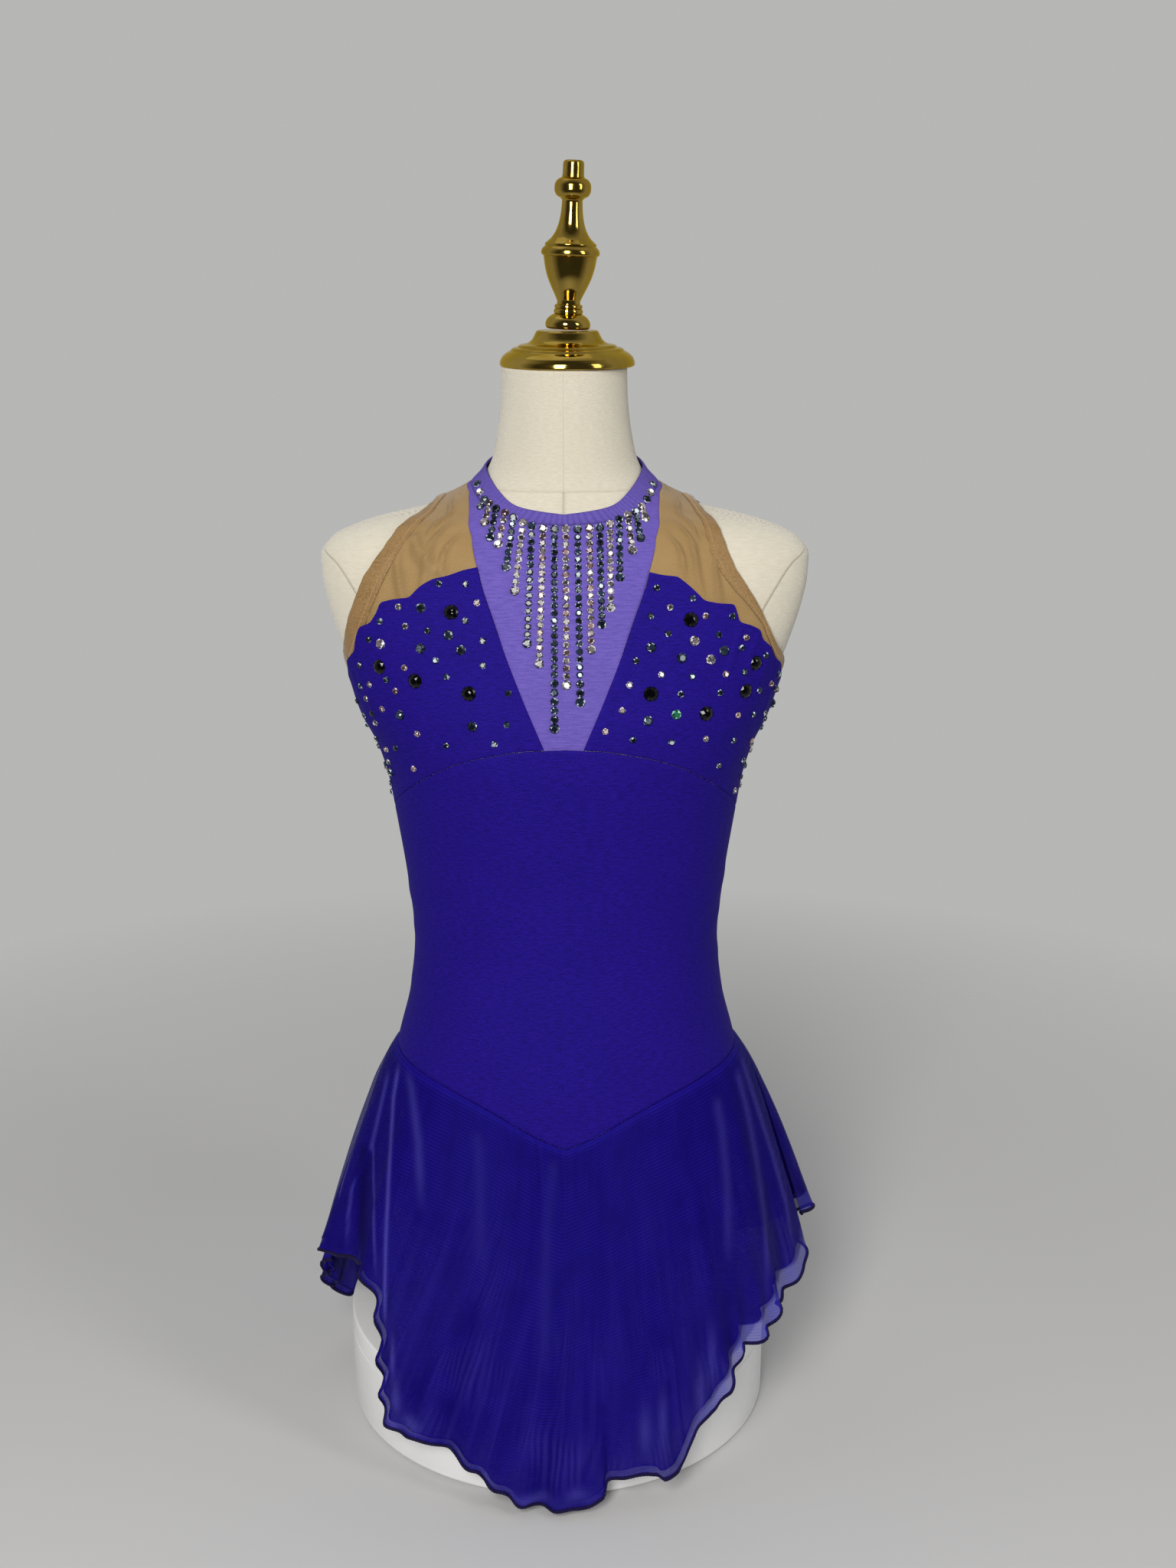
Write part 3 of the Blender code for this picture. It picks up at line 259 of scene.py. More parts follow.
def smooth(xs, ys, x):
    """Curve through a short table that never overshoots it."""
    xs = np.asarray(xs, float)
    ys = np.asarray(ys, float)
    x = np.clip(np.asarray(x, float), xs[0], xs[-1])
    m = slopes(xs, ys)
    i = np.clip(np.searchsorted(xs, x, side="right") - 1, 0, len(xs) - 2)
    h = xs[i + 1] - xs[i]
    s = (x - xs[i]) / h
    low = (2 * s ** 3 - 3 * s ** 2 + 1) * ys[i] + (s ** 3 - 2 * s ** 2 + s) * h * m[i]
    high = (-2 * s ** 3 + 3 * s ** 2) * ys[i + 1] + (s ** 3 - s ** 2) * h * m[i + 1]
    return low + high


def read(table, column, at):
    table = np.asarray(table, float)
    return smooth(table[:, 0], table[:, column], at)


def form_point(angle, height):
    """Point on the form, from the angle round it (centre front is 0, right is plus) and the height."""
    angle = np.radians(np.asarray(angle, float))
    height = np.asarray(height, float) + 0.0 * angle
    half, front, back, power = (read(FORM_SECTIONS, k, height) for k in (1, 2, 3, 4))
    c = np.cos(angle)
    s = np.sin(angle)
    x = half * np.sign(s) * np.abs(s) ** (2.0 / power)
    y = np.where(c > 0, -front, back) * np.abs(c) ** (2.0 / power)
    return np.stack([x, y, height], -1)


def unit(vectors):
    return vectors / np.linalg.norm(vectors, axis=-1, keepdims=True)


def form_normal(angle, height):
    angle = np.asarray(angle, float)
    height = np.asarray(height, float)
    round_step = form_point(angle + 0.6, height) - form_point(angle - 0.6, height)
    up_step = form_point(angle, height + 0.6) - form_point(angle, height - 0.6)
    return unit(np.cross(round_step, up_step))


def grid_faces(rows, columns, closed, start=0):
    """Faces of a grid that runs down and then round, pointing outwards."""
    r, c = np.meshgrid(np.arange(rows - 1), np.arange(columns if closed else columns - 1), indexing="ij")
    n = (c + 1) % columns
    a, b = r * columns + c, r * columns + n
    d, e = a + columns, b + columns
    return (np.stack([a, d, e, b], -1).reshape(-1, 4) + start).tolist()


def apart(angle, centre):
    """Degrees between two directions round the form."""
    return np.abs((angle - centre + 180.0) % 360.0 - 180.0)


def cut_place(tree):
    """Where a point lies on its flat cut piece."""
    return add(tree, "ShaderNodeUVMap", uv_map="cut").outputs["UV"]


def stretched(tree, where, scale):
    return add(tree, "ShaderNodeMapping", {"Vector": where, "Scale": scale}).outputs["Vector"]


def waves(tree, where, direction, scale, distortion, detail, detail_scale=1.0):
    node = add(tree, "ShaderNodeTexWave", {"Vector": where, "Scale": scale, "Distortion": distortion,
                                           "Detail": detail, "Detail Scale": detail_scale},
               bands_direction=direction)
    return node.outputs["Fac"]


def maths(tree, operation, *values, **settings):
    node = add(tree, "ShaderNodeMath", dict(enumerate(values)), operation=operation, **settings)
    return node.outputs["Value"]


def read_mark(tree, title):
    return add(tree, "ShaderNodeAttribute", attribute_name=title).outputs["Fac"]


def mark(piece, title, values):
    """A number kept at each point for the finish to read; a shell's inner points repeat its outer ones."""
    layer = piece.data.attributes.new(title, "FLOAT", "POINT")
    layer.data.foreach_set("value", np.resize(values, len(piece.data.vertices)).astype(np.float32))


def face_outwards(mesh):
    shaped = bmesh.new()
    shaped.from_mesh(mesh)
    bmesh.ops.recalc_face_normals(shaped, faces=shaped.faces[:])
    shaped.to_mesh(mesh)
    shaped.free()


FORM_SEAMS = (0.0, 90.0, 180.0, 270.0)
NECK_SEAM = 672.0
seam_side = np.array([0.0, 0.5, 1.0, 1.7, 2.6])
quarter = np.concatenate([seam_side, np.arange(4.5, 86.0, 1.9), 90.0 - seam_side[:0:-1]])
form_angles = np.concatenate([quarter + q for q in FORM_SEAMS])
form_heights = np.concatenate([np.linspace(FORM_BASE, 600.0, 120), np.linspace(603.0, 670.4, 40),
                               (671.1, 671.6, NECK_SEAM, 672.4, 672.9),
                               np.linspace(673.8, NECK_TOP, 34)])[::-1]
height_grid, angle_grid = np.meshgrid(form_heights, form_angles, indexing="ij")
at_end = (height_grid <= FORM_BASE) | (height_grid >= NECK_TOP)
surface = form_point(angle_grid, height_grid)
outward = form_normal(angle_grid, np.clip(height_grid, FORM_BASE + 1.0, NECK_TOP - 1.0))
off_seam = np.min([apart(angle_grid, seam) for seam in FORM_SEAMS], axis=0)
seam_dip = 0.45 * np.exp(-(off_seam * np.hypot(surface[..., 0], surface[..., 1]) * 0.01745 / 0.9) ** 2)
seam_dip = np.where((off_seam == apart(angle_grid, 0.0)) & (height_grid > NECK_SEAM), 0.0, seam_dip)
neck_dip = 0.5 * np.exp(-((height_grid - NECK_SEAM) / 0.8) ** 2)
neck_dip += 0.3 * np.clip((height_grid - NECK_SEAM + 0.5) / 1.5, 0.0, 1.0)
soft = 0.1 * np.sin(angle_grid * 0.11 + height_grid * 0.031) * np.sin(height_grid * 0.047 + 1.0)
dip = np.where(at_end, FORM_INSET, FORM_INSET + np.maximum(seam_dip, neck_dip) + 0.15 + soft)
outward[..., 2] = np.where(at_end, 0.0, outward[..., 2])
columns = len(form_angles)
form_faces = grid_faces(len(form_heights), columns, True)
form_faces.append(tuple(range(columns)))
form_faces.append(tuple(range((len(form_heights) - 1) * columns, len(form_heights) * columns))[::-1])

linen, tree, shader = start_finish("cream_linen", (0.76, 0.71, 0.58), 0.92, Sheen_Weight=0.35,
                                   Sheen_Roughness=0.6, Specular_IOR_Level=0.15)
cut = cut_place(tree)
warp = add(tree, "ShaderNodeTexNoise", {"Vector": cut, "Scale": 60.0, "Detail": 3.0})
bent = add(tree, "ShaderNodeMixRGB", {"Fac": 0.004, "Color1": cut, "Color2": warp.outputs["Color"]})
threads = [waves(tree, bent.outputs["Color"], axis, 0.314 / pitch, 1.2, 2.0)
           for axis, pitch in (("X", 0.00078), ("Y", 0.00085))]
weave = maths(tree, "MULTIPLY", *threads)
slub = noise(tree, stretched(tree, cut, (120.0, 900.0, 1.0)), 1.0, 3.0)
cloud = noise(tree, cut, 22.0, 5.0)
tone = mixed_colour(tree, spread_range(tree, slub, 0.3, 0.72), (0.637, 0.596, 0.482), (0.728, 0.687, 0.573))
tone = mixed_colour(tree, spread_range(tree, cloud, 0.45, 0.8, 0.0, 0.35), tone, (0.637, 0.592, 0.455))
tone = mixed_colour(tree, spread_range(tree, weave, 0.0, 0.5, 0.32, 0.0), tone, (0.473, 0.428, 0.328))
# the seam mark darkens the linen in its seam grooves and along the neck seam: painted shade
tone = mixed_colour(tree, read_mark(tree, "seam"), tone, (0.34, 0.30, 0.21))
tree.links.new(tone, shader.inputs["Base Color"])
embossed(tree, shader, maths(tree, "ADD", weave, slub), 0.7, 0.00018)

form_uv = np.stack([angle_grid * 1.9, height_grid], -1).reshape(-1, 2)
form_body = make_piece("linen_form", (surface - outward * dip[..., None]).reshape(-1, 3), form_faces, linen,
                       form_uv)
# painted shade along the neck seam's step, added to the painted shade in the seam grooves
neck_shade = 0.32 * np.exp(-((height_grid - NECK_SEAM) / 0.6) ** 2)
mark(form_body, "seam", np.clip(seam_dip * 0.75 + neck_shade, 0.0, 0.5))
arch_profile = ((-ARCH_HALF_WIDTH, 60.0), (ARCH_HALF_WIDTH, 60.0), (ARCH_HALF_WIDTH, ARCH_TOP - 6.0),
                (ARCH_HALF_WIDTH - 6.0, ARCH_TOP), (-ARCH_HALF_WIDTH + 6.0, ARCH_TOP),
                (-ARCH_HALF_WIDTH, ARCH_TOP - 6.0))
arch_points = np.array([(x, y, z) for y in (-140.0, 140.0) for x, z in arch_profile])
arch_faces = [tuple(range(6)), tuple(range(11, 5, -1))]
arch_faces += [(k, 6 + k, 6 + (k + 1) % 6, (k + 1) % 6) for k in range(6)]
arch_mesh = bpy.data.meshes.new("arch_block")
arch_mesh.from_pydata(((arch_points + FORM_AXIS) * MM).tolist(), [], arch_faces)
arch_mesh.materials.append(linen)
face_outwards(arch_mesh)
arch_block = into_scene("arch_block", arch_mesh)
arch = form_body.modifiers.new("arch", "BOOLEAN")
arch.operation = "DIFFERENCE"
arch.solver = "EXACT"
arch.object = arch_block
bpy.context.view_layer.update()
carved = bpy.data.meshes.new_from_object(form_body.evaluated_get(bpy.context.evaluated_depsgraph_get()))
form_body.modifiers.clear()
form_body.data = carved
bpy.data.objects.remove(arch_block)
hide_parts("form_torso")

# angle and height down the seam that closes each arm end, a felled ridge on the front of the shoulder
ARM_SEAM = ((80, 630.5), (66.5, 625), (59.5, 617), (54.5, 607), (51, 596), (49.5, 584), (49.5, 570))
ARM_SEAM_ROWS = 60
ARM_SEAM_SIDES = 6
for side, tag in ((-1, "left"), (1, "right")):
    knots = np.array(ARM_SEAM)
    fine = np.linspace(0.0, len(knots) - 1.0, ARM_SEAM_ROWS)
    angles = smooth(np.arange(len(knots)), knots[:, 0], fine) * side
    heights = smooth(np.arange(len(knots)), knots[:, 1], fine)
    out = form_normal(angles, heights)
    line = form_point(angles, heights) - out * (FORM_INSET + 0.22)
    across = np.cross(out, unit(np.gradient(line, axis=0)))
    turn = full_turn(ARM_SEAM_SIDES)[None, :, None]
    size = 0.5 * np.sin(np.linspace(0.06, math.pi - 0.06, ARM_SEAM_ROWS))[:, None, None] ** 0.3
    ring = line[:, None] + size * (out[:, None] * np.cos(turn) + 1.9 * across[:, None] * np.sin(turn))
    count = ARM_SEAM_ROWS * ARM_SEAM_SIDES
    faces = grid_faces(ARM_SEAM_ROWS, ARM_SEAM_SIDES, True)
    faces += [tuple(range(ARM_SEAM_SIDES))[::-1], tuple(range(count - ARM_SEAM_SIDES, count))]
    seam_uv = np.stack(np.divmod(np.arange(float(count)), ARM_SEAM_SIDES), -1)
    ridge = make_piece("linen_arm_seam_" + tag, ring.reshape(-1, 3), faces, linen, seam_uv)
    face_outwards(ridge.data)
    # the whole ridge takes the seam mark at half strength, the same painted shade as in the seam grooves
    mark(ridge, "seam", np.full(count, 0.5))


# Neck cap and finial: turned metal with a bright gold finish. The cap steps up from the neck's full
# width, and the finial, a cup on rings with a bell, a ball and a stub, screws into it a little askew.
def travelled(points):
    """Distance along a line at each of its points."""
    return np.concatenate([[0.0], np.cumsum(np.linalg.norm(np.diff(points, axis=0), axis=1))])


def moulding(*runs):
    """Profile rows from runs of corners: each run is one smooth curve, and its ends are edges."""
    rows = []
    for run in runs:
        knots = np.array(run, float)
        if len(knots) > 2:
            length = travelled(knots)
            fine = np.linspace(0.0, length[-1], 5 * (len(knots) - 1) + 1)
            spline = np.stack([smooth(length, knots[:, k], fine) for k in (0, 1)], -1)
        else:
            spline = knots
        rows.extend(spline.tolist() if not rows else spline[1:].tolist() if rows[-1] == spline[0].tolist()
                    else spline.tolist())
    return rows


CAP_RUNS = (((0, 748.3), (43.6, 748.3)), ((43.6, 748.3), (44.3, 749.3), (44.1, 751.2), (42.6, 754.4)),
            ((42.6, 754.4), (40.4, 756.3), (37.2, 758.2)), ((37.2, 758.2), (36.2, 759.4), (34.9, 760)),
            ((34.9, 760), (32.6, 760.3)), ((32.6, 760.3), (31.6, 761.4), (30.4, 761.9)),
            ((30.4, 761.9), (26.4, 762.7), (23, 765.2), (21.2, 768.4)),
            ((21.2, 768.4), (20.4, 770), (19.4, 770.9)), ((19.4, 770.9), (0, 771)))
FINIAL_RUNS = (((0, 0), (13.4, 0)), ((13.4, 0), (14.5, 1), (14.7, 3), (13.9, 5.4), (12, 7.6), (10.2, 8.8)),
               ((10.2, 8.8), (9, 9.4)), ((9, 9.4), (9.5, 10.4), (9.4, 11.8), (8.6, 12.6)),
               ((8.6, 12.6), (9.1, 13.5), (9, 14.7), (7.6, 15.6)), ((7.6, 15.6), (7.5, 17.4)),
               ((7.5, 17.4), (9.6, 21.8), (12, 26.6), (14.6, 32.8), (16.3, 39), (17.4, 45.6)),
               ((17.4, 45.6), (18.3, 46)), ((18.3, 46), (19, 47.4), (18.6, 49.4), (17.4, 51)),
               ((17.4, 51), (16.5, 51.8)), ((16.5, 51.8), (16.7, 53), (15.6, 54.2)),
               ((15.6, 54.2), (12.6, 57), (9.9, 61.4), (8, 67.2), (7, 73.6), (6.6, 80)),
               ((6.6, 80), (7.3, 81), (10.4, 83), (11.8, 86.4), (11.7, 89.4), (10, 92.6), (7.2, 94.3)),
               ((7.2, 94.3), (6.9, 96), (6.8, 101.8)), ((6.8, 101.8), (6.5, 103.6), (5.6, 104.6)),
               ((5.6, 104.6), (5, 104.6)), ((5, 104.6), (4.5, 104.9), (0, 104.9)))
CAP_SHIFT_X = 2.0
FINIAL_LEAN = math.radians(2.3)
gold, tree, shader = start_finish("bright_gold_plate", (0.42, 0.26, 0.04), 0.10, Metallic=1.0,
                                   Specular_Tint=(1.0, 0.84, 0.42, 1.0))
where = object_place(tree)
wear = noise(tree, where, 55.0, 6.0)
tree.links.new(spread_range(tree, wear, 0.35, 0.75, 0.06, 0.17), shader.inputs["Roughness"])
tone = mixed_colour(tree, spread_range(tree, wear, 0.3, 0.7), (0.47, 0.33, 0.075), (0.34, 0.22, 0.036))
tree.links.new(tone, shader.inputs["Base Color"])
embossed(tree, shader, noise(tree, where, 160.0, 2.0), 0.10, 0.0002)
turned("gold_neck_cap", moulding(*CAP_RUNS), (CAP_SHIFT_X, 0.0, 0.0), 0.0, 96, gold,
       ("neck_cap",), 38.0)
turned("gold_finial", moulding(*FINIAL_RUNS), (CAP_SHIFT_X + 0.3, 0.0, 771.9), FINIAL_LEAN, 64, gold,
       ("finial",), 38.0)


# Knit finish: royal and lavender stretch tricot, matt with a faint satin glow, whose short crosswise
# ribs lie level round the body. The brief, bodice panels and neckband are cut from it.
def tricot(name, colour, shade, glow, gathered=False):
    material, tree, shader = start_finish(name, colour, 0.72, Sheen_Weight=0.03, Sheen_Roughness=0.45,
                                          Sheen_Tint=(*glow, 1.0), Specular_IOR_Level=0.06)
    cut = cut_place(tree)
    ribs = noise(tree, stretched(tree, cut, (190.0, 820.0, 1.0)), 1.0, 2.5, Roughness=0.6)
    loops = noise(tree, stretched(tree, cut, (2200.0, 900.0, 1.0)), 1.0, 1.0)
    cloud = noise(tree, cut, 26.0, 4.0, Roughness=0.55)
    tone = mixed_colour(tree, spread_range(tree, ribs, 0.34, 0.64), shade, colour)
    tone = mixed_colour(tree, spread_range(tree, cloud, 0.4, 0.7, 0.0, 0.30), tone, shade)
    tone = mixed_colour(tree, spread_range(tree, loops, 0.5, 0.75, 0.0, 0.18), tone, glow)
    # gathered variant: darker where its mark is high, painted shade in the gathers' valleys and along the
    # band's edges
    if gathered:
        tone = mixed_colour(tree, read_mark(tree, "painted_shade"), tone, tuple(0.45 * part for part in shade))
    tree.links.new(tone, shader.inputs["Base Color"])
    embossed(tree, shader, maths(tree, "ADD", ribs, loops), 0.65, 0.00022)
    return material


royal = tricot("royal_tricot", (0.0142, 0.0045, 0.222), (0.0086, 0.0027, 0.143), (0.064, 0.038, 0.43))
lavender = tricot("lavender_tricot", (0.145, 0.103, 0.440), (0.104, 0.072, 0.345), (0.26, 0.21, 0.62))
# the neckband's lavender, with painted shade in its gathers
band_lavender = tricot("lavender_tricot_gather_shade", (0.136, 0.096, 0.425), (0.098, 0.068, 0.330),
                       (0.23, 0.19, 0.57), gathered=True)


# Brief: the attached brief under the skirt, a front, a back and a gusset of one layer of royal
# tricot. Its leg edges are turned over a narrow elastic.
CLEARANCE = 0.6
MESH_WALL = 1.0
SEAM_GAP = 0.12
LEAST_WALL = 0.22
WAIST_SEAM = ((0, 230), (8, 239), (17, 250), (28, 260), (40, 267), (55, 272), (75, 275), (95, 276),
              (130, 272), (160, 264), (180, 258))
LEG_LINE = ((0, 90), (18.5, 90.5), (21, 102), (23.5, 116), (27.5, 131), (35, 145), (48, 156), (70, 163),
            (90, 167))
LEG_LINE_BACK = ((0, 90), (17, 90.5), (21, 100), (28, 110), (40, 124), (55, 139), (72, 153), (90, 167))
# The cut pieces are laid out in angle round the form and travel, the way up its surface at the side.
TRAVEL_HEIGHTS = np.linspace(FORM_BASE, NECK_TOP, 680)
TRAVEL = travelled(form_point(55.0, TRAVEL_HEIGHTS))
GIRTH_STEP = 1.92


def to_travel(height):
    return np.interp(height, TRAVEL_HEIGHTS, TRAVEL)


def to_height(travel):
    return np.interp(travel, TRAVEL, TRAVEL_HEIGHTS)


def from_front(angle):
    """Degrees round from centre front, the same on both sides."""
    return np.where(np.abs(angle) > 180.0, 360.0 - np.abs(angle), np.abs(angle))


def spot(table):
    """Rows of angle and height as angle and travel up the form's surface."""
    return np.array([(row[0], to_travel(row[1])) for row in table], float)


def place(line):
    return form_point(line[..., 0], to_height(line[..., 1]))


def runs_of(line):
    return travelled(place(line))


def lay(line, shares):
    """Points at these shares of a line's length."""
    run = runs_of(line)
    goal = np.asarray(shares, float) * run[-1]
    return np.stack([np.interp(goal, run, line[:, 0]), np.interp(goal, run, line[:, 1])], -1)


def drawn(table):
    """Fine smooth line through rows of angle and height."""
    knots = spot(table)
    run = runs_of(knots)
    fine = np.linspace(0.0, run[-1], 500)
    return np.stack([smooth(run, knots[:, 0], fine), smooth(run, knots[:, 1], fine)], -1)


def round_the_form(table, start, stop, column=1):
    """Line whose height follows a table of angle and height, the same on both sides."""
    angles = np.linspace(start, stop, 500)
    return np.stack([angles, to_travel(read(table, column, from_front(angles)))], -1)


def straight(start, stop):
    return np.linspace(start, stop, 200)


def shares(length, step):
    """Even steps along a length, with close ones by each end where a seam turns in."""
    close = np.array([0.0, 0.35, 0.8, 1.4])
    middle = np.linspace(2.4, length - 2.4, max(2, int((length - 4.8) / step) + 1))
    return np.concatenate([close, middle, length - close[::-1]]) / length


def patch(top, bottom, left, right, step, views=None):
    """Grid between four lines, rows from top to bottom, and how far each point is from each edge."""
    step = step if isinstance(step, tuple) else (step, step)
    wide = 0.5 * (runs_of(top)[-1] + runs_of(bottom)[-1])
    long = 0.5 * (runs_of(left)[-1] + runs_of(right)[-1])
    u = shares(wide, step[0])
    v = shares(long, step[1])
    top, bottom, left, right = lay(top, u), lay(bottom, u), lay(left, v), lay(right, v)
    if views:
        top, bottom, left, right = (views[0](line) for line in (top, bottom, left, right))
    a = u[None, :, None]
    b = v[:, None, None]
    grid = ((1 - b) * top[None] + b * bottom[None] + (1 - a) * left[:, None] + a * right[:, None]
            - ((1 - a) * (1 - b) * top[0] + a * (1 - b) * top[-1]
               + (1 - a) * b * bottom[0] + a * b * bottom[-1]))
    if views:
        grid = views[1](grid)
    here = place(grid)
    across = np.pad(np.cumsum(np.linalg.norm(np.diff(here, axis=1), axis=2), axis=1), ((0, 0), (1, 0)))
    down = np.pad(np.cumsum(np.linalg.norm(np.diff(here, axis=0), axis=2), axis=0), ((1, 0), (0, 0)))
    return grid, np.stack([down, down[-1:] - down, across, across[:, -1:] - across])


def drawn_in(points, closed=False):
    """A grid with its border moved in by half the seam gap."""
    out = points.copy()

    def pull(edge, inside):
        along = np.roll(edge, -1, 0) - np.roll(edge, 1, 0) if closed else np.gradient(edge, axis=0)
        along = along / np.maximum(np.linalg.norm(along, axis=-1, keepdims=True), 1e-9)
        way = inside - edge
        way = way - along * np.sum(way * along, axis=-1, keepdims=True)
        return way / np.maximum(np.linalg.norm(way, axis=-1, keepdims=True), 1e-9) * (SEAM_GAP / 2.0)

    out[0] += pull(points[0], points[1])
    out[-1] += pull(points[-1], points[-2])
    if not closed:
        out[:, 0] += pull(points[:, 0], points[:, 1])
        out[:, -1] += pull(points[:, -1], points[:, -2])
    return out


def cloth_shell(name, outer, inner, uv, material, instead_of, closed=False):
    """A thin closed shell of cloth between an outer and an inner grid."""
    rows, columns = outer.shape[:2]
    half = rows * columns
    front = grid_faces(rows, columns, closed)
    a, b, c, d = (outer[r, k] for r, k in ((rows // 2, columns // 2), (rows // 2 + 1, columns // 2),
                                           (rows // 2 + 1, columns // 2 + 1), (rows // 2, columns // 2 + 1)))
    flip = np.dot(np.cross(c - a, d - b), outer[rows // 2, columns // 2] - inner[rows // 2, columns // 2]) < 0
    back = [tuple(half + i for i in face[::-1]) for face in front]
    span = columns if closed else columns - 1
    pairs = [(c, (c + 1) % columns) for c in range(span)]
    low = (rows - 1) * columns
    rim = [(c, n, half + n, half + c) for c, n in pairs]
    rim += [(low + n, low + c, half + low + c, half + low + n) for c, n in pairs]
    if not closed:
        for r in range(rows - 1):
            a = r * columns
            rim.append((a + columns, a, half + a, half + a + columns))
            a += columns - 1
            rim.append((a, a + columns, half + a + columns, half + a))
    faces = [tuple(f) for f in front] + back + rim
    if flip:
        faces = [f[::-1] for f in faces]
    points = np.concatenate([outer.reshape(-1, 3), inner.reshape(-1, 3)])
    both = np.concatenate([uv.reshape(-1, 2), uv.reshape(-1, 2)])
    return make_piece(name, points, faces, material, both, instead_of)


def on_form(name, grid, edges, wall, material, instead_of, lift=0.0, sewn=(1, 1, 1, 1), closed=False):
    """Cloth that lies on the form: sewn edges (top, bottom, left, right) turn down into their seam."""
    height = to_height(grid[..., 1])
    normal = form_normal(grid[..., 0], height)
    depth = 0.0
    for k in range(4):
        near = np.clip(1.0 - edges[k] / 1.9, 0.0, 1.0)
        depth = np.maximum(depth, (0.16 + 0.36 * sewn[k]) * near ** 1.6)
    base = place(grid)
    lift = lift + np.zeros(grid.shape[:2])
    thick = np.maximum(wall - depth, LEAST_WALL)[..., None]
    inner = drawn_in(base + normal * (CLEARANCE + lift[..., None] * 0.98), closed)
    outer = drawn_in(base + normal * (CLEARANCE + lift[..., None]) + normal * thick, closed)
    uv = np.stack([grid[..., 0] * GIRTH_STEP, grid[..., 1]], -1)
    return cloth_shell(name, outer, inner, uv, material, instead_of, closed)


def creases(grid, rows):
    """Soft uneven creases: rows of angle, height, way in degrees, half length, half width and rise."""
    total = np.zeros(grid.shape[:2])
    for angle, height, way, length, width, rise in rows:
        dx = (grid[..., 0] - angle) * GIRTH_STEP
        dy = grid[..., 1] - to_travel(height)
        c, s = math.cos(math.radians(way)), math.sin(math.radians(way))
        along = (dx * c + dy * s) / length
        across = (-dx * s + dy * c) / width + 0.35 * np.sin(along * 2.3 + angle)
        total += rise * np.exp(-along ** 2) * np.exp(-across ** 2)
    return total


# how far the brief's top lies under the waist seam, so near that no light shows between them
BRIEF_DROP = 0.3
for tag, start, stop, legs in (("front", -90.0, 90.0, LEG_LINE), ("back", 90.0, 270.0, LEG_LINE_BACK)):
    angles = np.linspace(start, stop, 500)
    flat = from_front(angles)
    brief_top = np.stack([angles, to_travel(read(WAIST_SEAM, 1, flat) - BRIEF_DROP)], -1)
    brief_leg = np.stack([angles, to_travel(read(legs, 1, flat if tag == "front" else 180.0 - flat))], -1)
    grid, edges = patch(brief_top, brief_leg, straight(brief_top[0], brief_leg[0]),
                        straight(brief_top[-1], brief_leg[-1]), 4.0)
    elastic = np.clip(1.0 - np.abs(edges[1] - 4.0) / 3.6, 0.0, 1.0) ** 0.5
    pucker = 0.18 * elastic * (1.0 + np.sin(grid[..., 0] * 3.1)) * np.clip(edges[1] / 2.0, 0.0, 1.0)
    thinned = 0.45 * np.exp(-edges[0] / 8.0) + 0.33 * np.exp(-edges[0] / 2.0)
    piece = on_form("brief_%s_cloth" % tag, grid, edges, MESH_WALL + 0.35 * elastic + pucker - thinned, royal,
                    ("brief_" + tag,), sewn=(0, 0, 1, 1))

GUSSET_HALF = 24.0
front_y = form_point(0.0, 90.0)[1] - CLEARANCE - MESH_WALL / 2.0
back_y = form_point(180.0, 90.0)[1] + CLEARANCE + MESH_WALL / 2.0
gusset_run = np.array(((front_y, 89.2), (front_y + 1.0, 86.5), (front_y + 4.0, 84.6), (-50.0, 84.0),
                       (0.0, 84.0), (50.0, 84.0), (back_y - 4.0, 84.6), (back_y - 1.0, 86.5), (back_y, 89.2)))
reach = travelled(gusset_run)
fine = np.linspace(0.0, reach[-1], 90)
path = np.stack([smooth(reach, gusset_run[:, k], fine) for k in (0, 1)], -1)
way = unit(np.gradient(path, axis=0))
down = np.stack([way[:, 1], -way[:, 0]], -1) * MESH_WALL / 2.0
across = np.linspace(-GUSSET_HALF, GUSSET_HALF, 25)
strips = []
sag = -0.5 * np.cos(across / GUSSET_HALF * math.pi / 2.0)[None] * np.sin(math.pi * fine / reach[-1])[:, None]
for side in (1.0, -1.0):
    edge = path + down * side
    strips.append(np.stack(np.broadcast_arrays(across[None, :], edge[:, :1], edge[:, 1:] + sag), -1))
uv = np.stack(np.broadcast_arrays(across[None, :], fine[:, None]), -1)
piece = cloth_shell("brief_gusset_cloth", strips[0], strips[1], uv, royal, ("brief_gusset",))


# Bodice: the front and back body of royal tricot, cut close and stretched over the form, between
# the curved underbust seam and the pointed waist seam. Their side seams run under the arms.
KNIT_WALL = 1.2
UNDERBUST = ((0, 512.5), (8, 511.3), (16, 508), (28.5, 501), (43, 489), (60, 473), (76, 459), (95, 442.5))
BACK_TOP = ((104, 536), (125, 526), (150, 519), (180, 517))
BINDING_WIDTH = 7.5
# angle and height round one armhole, from the shoulder down the front and up the back
ARMHOLE = ((90, 660), (68, 655.5), (50, 647), (44, 632), (47, 614), (52, 598), (58, 583), (70, 565),
           (90, 551), (112, 560), (130, 577), (141, 598), (144, 620), (140, 640), (126, 652.5), (108, 658))


def armhole_line(count):
    """The armhole's edge as one closed line."""
    knots = spot(ARMHOLE + ARMHOLE[:1])
    run = runs_of(knots)
    around = np.concatenate([knots[-3:-1], knots, knots[1:3]])
    spots = np.concatenate([run[-3:-1] - run[-1], run, run[1:3] + run[-1]])
    fine = np.linspace(0.0, run[-1], 900)
    line = np.stack([smooth(spots, around[:, 0], fine), smooth(spots, around[:, 1], fine)], -1)
    return lay(line, np.linspace(0.0, 1.0, count + 1))[:-1]


